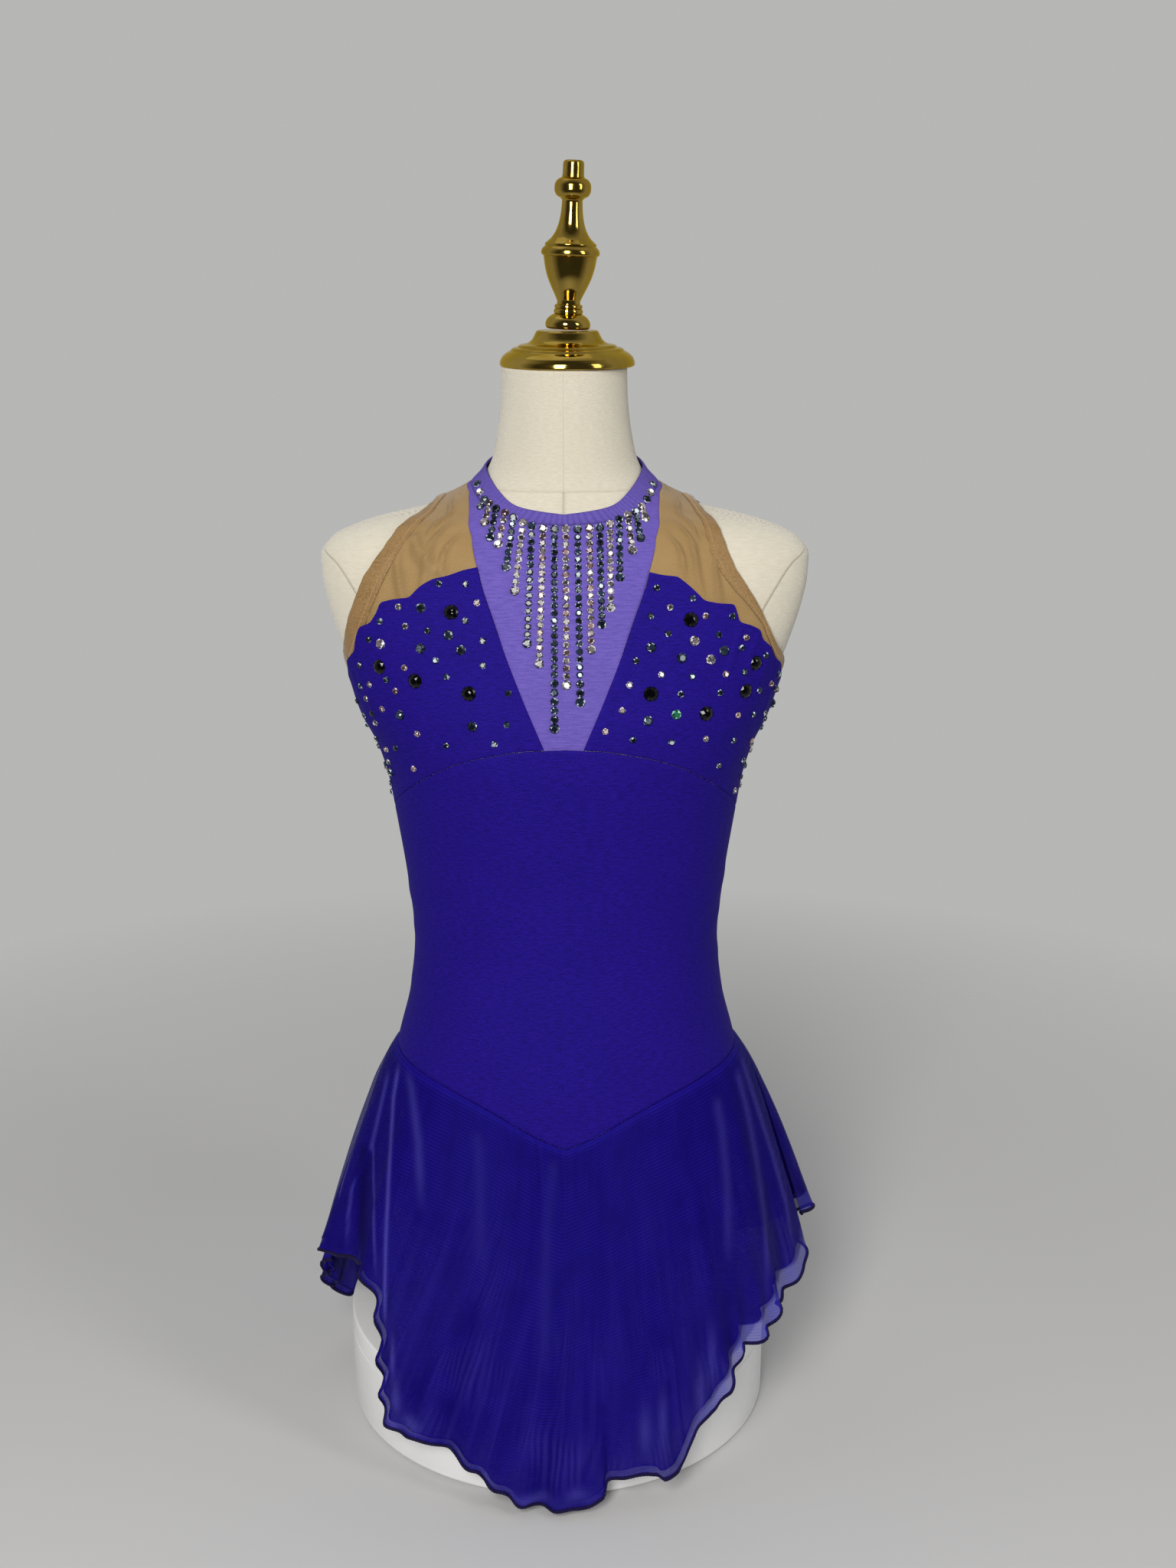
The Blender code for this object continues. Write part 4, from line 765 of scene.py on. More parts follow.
def slid(line, distance):
    """A closed line moved sideways over the form, away from the arm."""
    here = place(line)
    ahead = np.roll(here, -1, 0) - np.roll(here, 1, 0)
    side = unit(np.cross(form_normal(line[:, 0], to_height(line[:, 1])), ahead))
    if np.mean(np.sum(side * (here - here.mean(0)), axis=1)) < 0:
        side = -side
    goal = here + side * distance
    moved = line.copy()
    for _ in range(4):
        miss = goal - place(moved)
        by_angle = place(moved + (0.5, 0.0)) - place(moved - (0.5, 0.0))
        by_travel = place(moved + (0.0, 0.5)) - place(moved - (0.0, 0.5))
        for i in range(len(moved)):
            moved[i] += np.linalg.lstsq(np.stack([by_angle[i], by_travel[i]], -1), miss[i], rcond=None)[0]
    return moved


ARMHOLE_COUNT = 240
armhole_edge = armhole_line(ARMHOLE_COUNT)
armhole_seam = slid(armhole_edge, BINDING_WIDTH)
underarm = int(np.argmin(np.abs(armhole_seam[:, 0] - 90.0) + 0.05 * armhole_seam[:, 1]))
# angle and height where the front mesh leaves the armhole, under the bust's end
YOKE_END = (74.0, 553.0)
yoke_end = int(np.argmin(np.abs(armhole_seam[:underarm, 0] - YOKE_END[0])
                         + 0.2 * np.abs(armhole_seam[:underarm, 1] - to_travel(YOKE_END[1]))))
UNDERARM = armhole_seam[underarm]

# angle, height, way of the crease in degrees, half length, half width and rise
FRONT_PULLS = ((78, 400, 12, 34, 5, 0.55), (72, 372, 8, 30, 5.5, 0.6), (80, 345, -6, 30, 5, 0.5),
               (66, 325, -14, 34, 6, 0.5), (-80, 392, -10, 32, 5, 0.5), (-76, 362, -4, 30, 5.5, 0.55),
               (-72, 332, 12, 34, 6, 0.45), (-20, 300, 60, 60, 14, 0.5), (34, 290, 118, 60, 14, 0.5),
               (58, 430, 70, 30, 7, 0.4), (12, 480, 84, 40, 16, 0.35), (-40, 455, 100, 40, 14, 0.35))
BACK_PULLS = ((180, 372, 3, 40, 5, 0.7), (180, 352, -4, 46, 5.5, 0.8), (176, 334, 5, 40, 5, 0.7),
              (120, 380, 20, 30, 6, 0.5), (240, 378, -20, 30, 6, 0.5), (150, 470, 75, 34, 12, 0.4),
              (212, 468, 104, 34, 12, 0.4))
back_table = ((UNDERARM[0], float(to_height(UNDERARM[1]))),) + BACK_TOP
for tag, table, start, stop, step, pulls, flat_size, cut_area in (
        ("front", UNDERBUST, -UNDERARM[0], UNDERARM[0], 2.9, FRONT_PULLS, (0.335, 0.285), 0.074),
        ("back", back_table, UNDERARM[0], 360.0 - UNDERARM[0], 3.0, BACK_PULLS, (0.325, 0.28), 0.079)):
    top = round_the_form(table, start, stop)
    waist = round_the_form(WAIST_SEAM, start, stop)
    grid, edges = patch(top, waist, straight(top[0], waist[0]), straight(top[-1], waist[-1]), step)
    seam_near = np.exp(-np.minimum(edges[0], edges[1]) / 5.0)
    pull = creases(grid, pulls)
    pull += 0.11 * seam_near * np.sin(grid[..., 0] * 1.15 + 2.0 * np.sin(grid[..., 0] * 0.31))
    piece = on_form(tag + "_body_cloth", grid, edges, KNIT_WALL, royal, (tag + "_body",), pull)


# Skirt: two circular layers of sheer royal stretch mesh, front and back, gathered a little into the
# point of the waist seam. Each hem is stretched as it is overlocked, so that it ripples.
# angle round from centre front, and how far out to the sides the hem reaches there
HEM_SPREAD_FRONT = ((-93, 182), (-84, 180), (-74, 176), (-64, 172), (-56, 169), (-51, 167), (-49, 168),
                    (-47, 170), (-42, 173), (-35, 172), (44, 172), (54, 171), (66, 171), (77, 172),
                    (93, 174))
HEM_SPREAD_BACK = ((87, 173.5), (91, 174.5), (96, 180), (106, 177), (120, 176), (145, 176), (180, 172),
                   (215, 176), (235, 178), (253, 175), (258, 175.5), (263, 176), (268, 177.5), (273, 182))
# angle and height of the hem's edge
HEM_LINE_FRONT = ((-93, 110), (-84, 118), (-74, 130), (-64, 137), (-56, 140), (-52, 134), (-50.2, 125),
                  (-49.8, 116), (-49.6, 104), (-49.4, 91), (-49.2, 80), (-49, 71), (-48.6, 60), (-47, 43),
                  (-42.5, 37), (-37.5, 37), (-33.1, 35), (-28.2, 37), (-24.7, 29), (-20.3, 27.2),
                  (-17.6, 18.3), (-14, 16.2), (-10.8, 9.3), (-6.3, 6.6), (0, 6), (2.6, 6.3), (5.3, 9.4),
                  (8.8, 11), (10, 20.6), (13.1, 23.8), (17.2, 25.7), (20.7, 26.3), (22.8, 20.8), (25.7, 22.2),
                  (29, 37.6), (32.5, 50.2), (37.2, 56.9), (39.6, 66.9), (43, 69), (44.2, 76), (45.4, 82),
                  (47, 92.5), (50.5, 93), (53.5, 96.5), (56.5, 102), (59.5, 109), (64.5, 105.5), (71, 107.5),
                  (79.5, 114), (86, 121), (93, 126))
HEM_LINE_BACK = ((87, 132), (96, 129), (106, 110), (120, 78), (145, 40), (180, 16), (215, 34), (235, 44),
                 (246, 41), (253, 38), (258, 50), (263, 66), (268, 92), (273, 103))
# how far out the hem reaches to the front and to the back
HEM_DEPTH = 172.0
# way down the skirt, and how far it has swung out at centre front, at the side and at the back
FLARE = ((0, 0, 0, 0), (0.05, 0.05, 0.09, 0.07), (0.15, 0.19, 0.24, 0.24), (0.3, 0.42, 0.4, 0.47),
         (0.45, 0.61, 0.55, 0.66), (0.6, 0.76, 0.69, 0.81), (0.75, 0.88, 0.82, 0.91), (0.9, 0.96, 0.93, 0.97),
         (1, 1, 1, 1))
# angle, half width in degrees, swing out at the hem, and the way down where the fold starts
FOLDS = ((-98, 12, 5, 0.1), (-86, 10, -5, 0.2), (-75, 10, 5, 0.05), (-64, 10, -7, 0.05), (-53, 9, 4, 0.05),
         (-40, 10, 3, 0.3), (-29, 9, -4, 0.25), (-15, 10, 3, 0.3), (1, 9, 4, 0.15), (11, 8, -4, 0.2),
         (24, 10, 4, 0.15), (34, 8, -3, 0.3), (47, 10, -4, 0.2), (57, 9, 4, 0.2), (67, 9, -4, 0.2),
         (78, 9, 5, 0.15), (88, 8, -5, 0.3), (99, 11, 5, 0.15), (115, 12, -5, 0.25), (135, 14, 5, 0.2),
         (157, 14, -4, 0.25), (180, 14, 4, 0.2), (203, 14, -4, 0.25), (226, 14, 5, 0.2), (246, 12, -5, 0.25),
         (262, 11, 5, 0.15))
# the same, for the narrow soft folds that the solid leaves out
FINE_FOLDS = ((-69, 3, 1.6, 0.02), (-59, 2.6, -1.8, 0.03), (-56, 2.2, 1.5, 0.3), (-46, 3, 1.6, 0.35),
              (-37, 3.4, -1.3, 0.45), (-23, 3, 1.2, 0.4), (-19, 2.4, -1.2, 0.5), (-10, 3.2, 1.5, 0.4),
              (-4.5, 2.2, -1.4, 0.35), (5.5, 2.6, 1.3, 0.3), (8.5, 2.2, 1.2, 0.45), (16, 3.2, -1.4, 0.45),
              (20.5, 2.6, 1.5, 0.4), (28.5, 2.8, -1.6, 0.45), (30.5, 2.4, 1.4, 0.35), (39, 3, 1.7, 0.3),
              (43, 2.4, -1.4, 0.4), (52, 3, 1.6, 0.25), (61.5, 2.6, -1.5, 0.3), (72, 3, 1.5, 0.2),
              (83, 3.2, 1.6, 0.2), (104, 4, -1.8, 0.25), (110, 3.2, 1.6, 0.3), (124, 4, 1.8, 0.3),
              (141, 3.6, -1.6, 0.35), (150, 3.2, 1.7, 0.3), (168, 3.6, 1.6, 0.3), (187, 3.2, -1.6, 0.35),
              (194, 3.6, 1.6, 0.3), (213, 4, 1.7, 0.3), (219, 3, -1.6, 0.35), (236, 3.8, 1.7, 0.3),
              (252, 3.2, 1.6, 0.3), (268, 3, -1.5, 0.2))
# how far the skirt stays off the stand's rim
RIM_CLEARANCE = 7.6
# how far inside the outer layer the under one hangs, and how much further at its hem
LAYER_DROP = (2.5, 1.6)
# what the cut cloth's own height counts from, at the waist seam
SEAM_AT = 400.0
# angle, and how much shorter the layer is there than the outer hem
OUTER_RISE = ((-93, 0), (273, 0))
UNDER_RISE = ((-93, 2.4), (-45, 2.4), (-8, 3), (6, 3.4), (26, 5), (36, 7), (42, 11), (52, 13), (93, 12),
              (222, 12), (238, 5), (273, 4))


def eased(share):
    """A share from nought to one that starts and ends gently."""
    return share * share * (3.0 - 2.0 * share)


def fold_swing(angle, way, folds):
    """How far these folds stand out at each point."""
    total = np.zeros(np.broadcast(angle, way).shape)
    for centre, half, swing, start in folds:
        off = apart(angle, centre) / half
        bump = np.where(off < 1.0, 0.5 + 0.5 * np.cos(math.pi * np.clip(off, 0.0, 1.0)), 0.0)
        grow = np.clip((way - start) / (1.0 - start), 0.0, 1.0)
        total = total + swing * bump * grow
    return total


def skirt_grid(spread, line, start, stop, ways, step, ripple, rise, drop):
    """Outer face of a skirt layer, its columns even along the hem, and the cloth's own coordinates."""
    fine = np.linspace(start, stop, 1600)
    turn = np.radians(fine)
    rim = np.stack([read(spread, 1, fine) * np.sin(turn), -HEM_DEPTH * np.cos(turn), read(line, 1, fine)], -1)
    run = travelled(rim)
    share = np.linspace(0.0, 1.0, int(run[-1] / step) + 1)
    hem_angle = np.interp(share * run[-1], run, fine)
    seam = round_the_form(WAIST_SEAM, start, stop)
    top_angle = lay(seam, share)[:, 0]
    way = np.asarray(ways, float)[:, None]
    angle = top_angle[None] + (hem_angle - top_angle)[None] * way ** 1.2
    top_height = read(WAIST_SEAM, 1, from_front(top_angle))
    top = form_point(top_angle, top_height) + form_normal(top_angle, top_height) * (CLEARANCE + KNIT_WALL)
    low = read(line, 1, hem_angle)[None]
    shorter = read(rise, 1, hem_angle)[None]
    down = way * (1.0 - shorter / (top_height[None] - low))
    turn = np.radians(angle)
    front_share = np.clip(np.cos(turn), 0.0, 1.0) ** 1.3
    back_share = np.clip(-np.cos(turn), 0.0, 1.0) ** 1.3
    swung = (front_share * read(FLARE, 1, down) + (1.0 - front_share - back_share) * read(FLARE, 2, down)
             + back_share * read(FLARE, 3, down))
    start_radius = np.hypot(top[:, 0], top[:, 1])[None]
    start_turn = np.arctan2(top[:, 0], -top[:, 1])[None]
    hem_x = read(spread, 1, angle) * np.sin(turn)
    hem_y = -HEM_DEPTH * np.cos(turn)
    swing_turn = start_turn + ((turn - start_turn + math.pi) % math.tau - math.pi) * way ** 0.8
    from_x = start_radius * np.sin(swing_turn)
    from_y = -start_radius * np.cos(swing_turn)
    x = from_x + (hem_x - from_x) * swung
    y = from_y + (hem_y - from_y) * swung
    z = top_height[None] + (low - top_height[None]) * down
    run_along = share[None] * run[-1]
    pitch, swing = ripple
    phase = run_along / pitch * math.tau
    phase = phase + 1.1 * np.sin(run_along / 47.0) + 0.8 * np.sin(run_along / 19.0 + 1.0)
    uneven = 0.7 + 0.3 * np.sin(run_along / 31.0 + 2.0)
    wave = swing * uneven * np.cos(phase) * way ** 7
    gather = np.exp(-(angle / 15.0) ** 2) * 0.55 + 0.10 + 0.25 * np.exp(-((angle + 66.0) / 7.0) ** 2)
    from_seam = down * (top_height[None] - low)
    tucks = gather * np.sin(angle * 2.1 + 1.3 * np.sin(angle * 0.83)) * np.clip(from_seam / 3.0, 0.0, 1.0)
    tucks = tucks * np.exp(-from_seam / 30.0)
    drape = 0.7 * down * np.sin(angle * 0.55 + 2.2 * np.sin(down * 3.0 + angle * 0.05))
    shift = fold_swing(angle, down, FOLDS + FINE_FOLDS) + wave + tucks + drape
    parted = eased(np.clip(down / 0.1, 0.0, 1.0))
    depth = (drop[0] + drop[1] * down) * parted + 1.25 * (1.0 - parted) * (drop[0] > 0.0)
    shift = shift - depth
    point = np.stack([x + np.sin(turn) * shift, y - np.cos(turn) * shift, z], -1)
    # the hem's edge is stretched longer, so it also rises and falls
    point[..., 2] += 0.45 * swing * uneven * np.sin(phase + 0.6) * way ** 9
    fall = top_height[None] - z
    body = form_point(angle, np.maximum(z, FORM_BASE))
    out = np.hypot(point[..., 0], point[..., 1])
    least = np.hypot(body[..., 0], body[..., 1]) + np.maximum(np.minimum(1.8 + 0.34 * fall, 6.8) - depth, 2.3)
    facing = np.arctan2(point[..., 0], -point[..., 1])
    rim_out = (STAND_SHIFT_X * np.sin(facing) + STAND_RADIUS + RIM_CLEARANCE - depth
               - 1.1 * np.maximum(z - STAND_HEIGHT - 4.0, 0.0))
    least = np.where(z > 150.0, least, np.maximum(least, rim_out))
    kept = 0.5 * (out + least + np.sqrt((out - least) ** 2 + 1.0))
    grown = np.where((down < 0.02) & (drop[0] == 0.0), out, kept) / out
    point[..., 0] *= grown
    point[..., 1] *= grown
    return point, np.stack(np.broadcast_arrays(run_along, SEAM_AT - from_seam), -1)


def sheer_mesh(name, openness):
    """Fine royal stretch mesh: see-through, ribbed level, with the grain that two layers make, and painted
    highlights, fold shade and light through the lone hem layer where its marks say.
    """
    material, tree, shader = start_finish(name, (0.012, 0.0055, 0.21), 0.65, Sheen_Weight=0.0,
                                          Sheen_Roughness=0.4, Sheen_Tint=(0.16, 0.12, 0.6, 1.0),
                                          Specular_IOR_Level=0.05)
    cut = cut_place(tree)
    ribs = waves(tree, cut, "Y", 150.0, 0.9, 1.0, 0.4)
    yarn = waves(tree, cut, "Y", 330.0, 1.5, 1.0)
    patchy = noise(tree, cut, 45.0, 3.0)
    grain = noise(tree, stretched(tree, cut, (15.0, 1.5, 1.0)), 4.0, 2.0, Roughness=0.55, Distortion=1.2)
    water = waves(tree, stretched(tree, cut, (11.0, 3.6, 1.0)), "X", 5.0, 16.0, 1.0, 0.7)
    cloud = noise(tree, cut, 13.0, 2.0)
    height = add(tree, "ShaderNodeSeparateXYZ", {"Vector": cut}).outputs["Y"]
    lower = spread_range(tree, height, 0.345, 0.215, 0.10, 1.0)
    lined = maths(tree, "MULTIPLY", ribs, spread_range(tree, patchy, 0.3, 0.7, 0.25, 1.0))
    tone = mixed_colour(tree, lined, (0.0056, 0.0019, 0.148), (0.0110, 0.0040, 0.240))
    streak = maths(tree, "MULTIPLY", spread_range(tree, grain, 0.45, 0.75, 0.0, 0.55), lower)
    tone = mixed_colour(tree, streak, tone, (0.024, 0.015, 0.27))
    wet = maths(tree, "MULTIPLY", water, spread_range(tree, cloud, 0.50, 0.66, 0.0, 0.30))
    tone = mixed_colour(tree, maths(tree, "MULTIPLY", wet, lower), tone, (0.050, 0.038, 0.34))
    # the pale mark paints highlights (toward pale blue) on patches and fold ridges, and below nought shade
    # (toward deep blue) in folds
    pale = read_mark(tree, "pale")
    tone = mixed_colour(tree, spread_range(tree, pale, 0.0, 1.0, 0.0, 0.9), tone, (0.080, 0.067, 0.44))
    tone = mixed_colour(tree, spread_range(tree, pale, 0.0, -1.0, 0.0, 0.9), tone, (0.003, 0.0012, 0.060))
    open_and_lit = read_mark(tree, "open_and_lit")
    # where one layer hangs alone it is painted a lighter blue, painted light showing through it, and made
    # more see-through
    tone = mixed_colour(tree, spread_range(tree, open_and_lit, 0.0, 1.0, 0.0, 0.75), tone, (0.040, 0.034, 0.52))
    tree.links.new(tone, shader.inputs["Base Color"])
    closed = maths(tree, "ADD", lined, yarn)
    cover = spread_range(tree, closed, 0.4, 1.4, 1.0 - openness - 0.06, 1.0 - openness + 0.06)
    tree.links.new(maths(tree, "MULTIPLY_ADD", open_and_lit, -0.27, cover, use_clamp=True), shader.inputs["Alpha"])
    embossed(tree, shader, closed, 0.5, 0.0002)
    return material


sheer = sheer_mesh("sheer_royal_mesh", 0.32)
thread, tree, shader = start_finish("dark_overlock_thread", (0.006, 0.003, 0.030), 0.6,
                                    Specular_IOR_Level=0.15)
wraps = waves(tree, cut_place(tree), "DIAGONAL", 240.0, 1.0, 2.0)
tree.links.new(mixed_colour(tree, wraps, (0.003, 0.0015, 0.014), (0.012, 0.006, 0.070)),
               shader.inputs["Base Color"])
embossed(tree, shader, wraps, 0.8, 0.0003)
royal_thread = start_finish("royal_overlock_thread", (0.010, 0.0045, 0.125), 0.6, Specular_IOR_Level=0.15)[0]


def rolled_edge(name, line, out, down, size, material):
    """An overlocked edge: a cord of thread wraps round the cloth's edge, ribbed by its stitches."""
    run = travelled(line)
    goal = np.linspace(0.0, run[-1], int(run[-1] / 0.75))
    centre, out, down = (np.stack([np.interp(goal, run, row[:, k]) for k in range(3)], -1)
                         for row in (line, out, down))
    sides = 8
    turn = full_turn(sides)[None, :, None]
    ridge = 1.0 + 0.11 * np.sin(goal / 2.2 * math.tau)[:, None] + 0.05 * np.sin(goal / 13.0)[:, None]
    ring = out[:, None] * np.cos(turn) * size[0] + down[:, None] * np.sin(turn) * size[1]
    points = centre[:, None] + ring * ridge[..., None]
    points[0] = centre[0] + ring[0] * 0.45
    points[-1] = centre[-1] + ring[-1] * 0.45
    faces = grid_faces(len(goal), sides, True)
    faces += [list(range(sides))[::-1], list(range(len(faces), len(faces) + sides))]
    a, b = points[0, 0] - centre[0], points[0, 1] - centre[0]
    if np.dot(np.cross(points[1, 0] - points[0, 0], b - a), a) > 0:
        faces = [face[::-1] for face in faces]
    uv = np.stack(np.broadcast_arrays(goal[:, None], np.arange(sides)[None] * 0.8), -1).reshape(-1, 2)
    return make_piece(name, points.reshape(-1, 3), faces, material, uv)


# soft patches of painted highlight: x, height, half width, half height, strength
PAINTED_HIGHLIGHT_SPOTS = ((-120, 38, 7, 5, 0.4), (-106, 46, 6, 5, 0.35), (-117, 60, 3, 10, 0.35),
              (-119, 88, 1.6, 12, 0.4), (54, 56, 4, 16, 0.25), (66, 62, 3, 18, 0.25), (-90, 30, 9, 4, 0.3),
              (-60, 22, 10, 4, 0.25), (-22, 12, 14, 4, 0.3), (8, 16, 8, 5, 0.25), (92, 70, 3, 20, 0.25),
              (100, 96, 3, 18, 0.2))
# pinch lines that fan out from the side seams, painted as highlight along a fold (or, below nought, as shade
# in it): x and height down each line, half width, and how strong it is
PAINTED_FOLD_LINES = ((((-125.3, 262), (-130.3, 240.6), (-136.2, 215.7), (-143.4, 199.6), (-150.9, 183.1),
                (-153.7, 165.2), (-155.5, 140)), 1.3, 0.55),
              (((-117.4, 270), (-120.4, 250.5), (-120.9, 230.9), (-121.3, 211.2), (-121.8, 191.1),
                (-122.7, 171.2), (-123.3, 148.6), (-124.2, 100)), 1.3, 0.8),
              (((-110.3, 270.1), (-107.1, 261.8), (-104.5, 251.5), (-100.8, 233.7), (-97.8, 190)), 3, 0.35),
              (((-135.4, 218), (-134.1, 197.3), (-132, 183.4), (-129.8, 140)), 1, 0.6),
              (((-141, 215), (-143, 196), (-142.5, 175), (-141, 130)), 5, -0.75),
              (((124, 270), (135, 236), (147, 200), (157, 165), (163, 130)), 1.4, 0.5),
              (((120, 266), (128, 236), (134, 205), (139, 170), (141, 120)), 2, 0.4),
              (((104, 258), (108, 236), (111, 205), (112, 150)), 3, 0.25),
              (((-60, 245), (-58, 220), (-57, 150)), 4, 0.1), (((-8, 226), (-12, 180), (-14, 90)), 4, 0.1))


def painted_light_at(points):
    """How much painted highlight, or below nought how much painted shade, the cloth has at each point."""
    x, y, z = np.moveaxis(points, -1, 0)
    share = np.zeros(x.shape)
    for middle, high, half_width, half_height, strength in PAINTED_HIGHLIGHT_SPOTS:
        share += 1.7 * strength * np.exp(-((x - middle) / half_width) ** 2 - ((z - high) / half_height) ** 2)
    for line, half, strength in PAINTED_FOLD_LINES:
        line = np.array(line)
        here = np.interp(-z, -line[:, 1], line[:, 0])
        inside = np.clip((line[0, 1] - z) / 6.0, 0.0, 1.0) * np.clip((z - line[-1, 1]) / 25.0, 0.0, 1.0)
        share += strength * np.exp(-((x - here) / half) ** 2) * inside * (y < 0.0)
    return share


# angle, and how far the single layer along the hem lets the light through, both as real see-through and as
# painted light
OPEN_SHARE = ((-93, -0.9), (-40, -0.9), (-10, -0.4), (18, -0.1), (32, 0.3), (42, 1), (82, 1), (96, 0.6),
              (180, 0.4), (222, 0), (240, -0.8), (273, -0.8))
# angle of the side seams
SIDE = 90.5
waist_rows = np.array([0.0, 0.003, 0.008, 0.015, 0.026])
skirt_rows = np.concatenate([waist_rows, np.linspace(0.045, 0.90, 46), np.linspace(0.915, 1.0, 12)])
under_rows = np.concatenate([[0.018, 0.026, 0.036, 0.05], skirt_rows[skirt_rows > 0.06]])
# front or back, whether it is the outer layer, how close its columns are, its flat size and its area
for tag, outermost, step, flat_size, cut_area in (
        ("front", True, 2.3, (0.62, 0.25), 0.098), ("front", False, 2.8, (0.56, 0.235), 0.083),
        ("back", True, 2.6, (0.60, 0.25), 0.109), ("back", False, 3.0, (0.56, 0.235), 0.094)):
    name = "skirt_%s_%s" % (tag, "outer" if outermost else "under")
    spread, line, start, stop, ripple = (
        (HEM_SPREAD_FRONT, HEM_LINE_FRONT, -SIDE, SIDE, (25.0, 3.0)) if tag == "front" else
        (HEM_SPREAD_BACK, HEM_LINE_BACK, SIDE, 360.0 - SIDE, (27.0, 3.2)))
    rise, drop, wall, size, ways, hem_finish = (
        (OUTER_RISE, (0.0, 0.0), 0.55, (1.15, 1.45), skirt_rows, thread) if outermost else
        (UNDER_RISE, LAYER_DROP, 0.5, (0.7, 0.9), under_rows, royal_thread))
    outer, uv = skirt_grid(spread, line, start, stop, ways, step, ripple, rise, drop)
    # painted highlights and fold shade for the front outer layer; the same numbers also lift the cloth along
    # those folds
    pale = painted_light_at(outer) if name == "skirt_front_outer" else np.zeros(outer.shape[:2])
    outer[..., 1] -= 1.5 * pale
    by_column = np.gradient(outer, axis=1)
    by_row = np.gradient(outer, axis=0)
    normal = unit(np.cross(by_row, by_column))
    from_seam = SEAM_AT - uv[..., 1]
    seam_dip = 0.55 * np.clip(1.0 - from_seam / 1.8, 0.0, 1.0) * outermost
    outer = outer - normal * seam_dip[..., None]
    inner = outer - normal * np.maximum(wall - seam_dip, LEAST_WALL)[..., None]
    inner[..., 2] = np.maximum(inner[..., 2], 2.6)
    hem_turn = np.degrees(np.arctan2(outer[-1, :, 0], -outer[-1, :, 1]))
    hem_turn = np.where((stop > 180.0) & (hem_turn < 0.0), hem_turn + 360.0, hem_turn)
    outer, inner = drawn_in(outer), drawn_in(inner)
    piece = cloth_shell(name + "_cloth", outer, inner, uv, sheer, (name,))
    to_hem = from_seam[-1:] - from_seam
    band = read(UNDER_RISE, 1, hem_turn)[None]
    open_and_lit = np.clip((band + 2.5 - to_hem) / 3.0, 0.0, 1.0) * outermost * read(OPEN_SHARE, 1, hem_turn)[None]
    open_and_lit = open_and_lit - 1.5 * np.clip((6.0 - from_seam) / 4.0, 0.0, 1.0)
    mark(piece, "open_and_lit", open_and_lit)
    mark(piece, "pale", pale)
    hem = rolled_edge(name + "_hem", 0.5 * (outer[-1] + inner[-1]), normal[-1], unit(by_row[-1]), size,
                      hem_finish)


# Bust: two royal pieces lying on the mesh yoke above and level with the body below. Their scalloped
# top edges are free; the right one drags into short upright folds beside the armhole.
OVERLAY_STEP = 1.75
SCALLOP_LEFT = ((17.3, 625.5), (20.6, 623.5), (24, 620), (28, 617.5), (31, 613), (34, 606), (39, 604.5),
                (43.5, 602), (45.5, 595), (48.5, 588.5), (54, 585), (57.5, 577), (60.5, 568.5), (70, 560))
SCALLOP_RIGHT = ((17, 622.5), (20, 620.5), (23.5, 619.5), (26, 614), (30, 604.5), (34, 602.5), (39, 601.5),
                 (41.5, 590), (46, 587.5), (50, 584), (52, 578), (57.5, 572), (62, 564.5), (70, 558))
# angle and height down one side of the centre panel, from the shoulder to the underbust
PANEL_EDGE = ((90, 671.2), (66, 668.2), (56, 664.8), (46, 660.2), (36, 654), (27, 647.3), (20.2, 635),
              (17.2, 623), (13, 594), (8.8, 556), (3.7, 512.3))
PANEL_FOOT = PANEL_EDGE[-1][0]
panel_edge = drawn(PANEL_EDGE)
busts = {}


def other_side(grid, edges, *values):
    """The same cloth on the left: its grid, how far its edges are, and what else goes with its points."""
    return (grid[:, ::-1] * (-1.0, 1.0), edges[[0, 1, 3, 2]][:, :, ::-1],
            *(value[:, ::-1] for value in values))


for side, tag, scallop in ((-1, "left", SCALLOP_LEFT), (1, "right", SCALLOP_RIGHT)):
    top_row = int(np.argmin(np.abs(panel_edge[:, 1] - to_travel(scallop[0][1]))))
    lace = lay(spot(scallop), np.linspace(0.0, 1.0, 160))
    lace[2:-2] = (lace[:-4] + lace[1:-3] + lace[2:-2] + lace[3:-1] + lace[4:]) / 5.0
    lace_length = runs_of(lace)[-1]
    after = armhole_seam[yoke_end:underarm + 1] - (0.0, 0.5)
    top = np.concatenate([lace, after])
    inner = panel_edge[top_row:]
    top[0] = inner[0]
    bottom = round_the_form(UNDERBUST, PANEL_FOOT, UNDERARM[0])
    grid, edges = patch(top, bottom, inner, straight(top[-1], bottom[-1]), 2.2)
    down = edges[0] / (edges[0] + edges[1])
    lift = OVERLAY_STEP * (1.0 - eased(np.clip((down - 0.28) / 0.3, 0.0, 1.0)))
    if side > 0:
        lift += creases(grid, ((41.5, 574, 84, 15, 1.7, 1.5), (49, 570, 88, 15, 1.7, 1.4),
                               (57, 560, 96, 18, 2, 1.1), (68, 545, 100, 22, 3, 0.9),
                               (46, 520, 30, 30, 9, 0.5), (58, 500, 18, 34, 8, 0.4)))
    else:
        lift += creases(grid, ((62, 548, 88, 18, 3, 0.6), (69, 540, 98, 20, 3.4, 0.6),
                               (78, 530, 106, 24, 4, 0.6), (40, 515, 24, 32, 9, 0.45)))
    lift += 0.10 * np.exp(-edges[1] / 5.0) * np.sin(grid[..., 0] * 2.2 + 2.0 * np.sin(grid[..., 0] * 0.31))
    free = np.clip((edges[2] - lace_length) / 6.0, 0.0, 1.0)
    if side < 0:
        grid, edges, lift, free = other_side(grid, edges, lift, free)
    piece = on_form("bust_%s_cloth" % tag, grid, edges, KNIT_WALL, royal, ("bust_" + tag,),
                    lift, sewn=(free, 1, 1, 1))
    busts[side] = piece


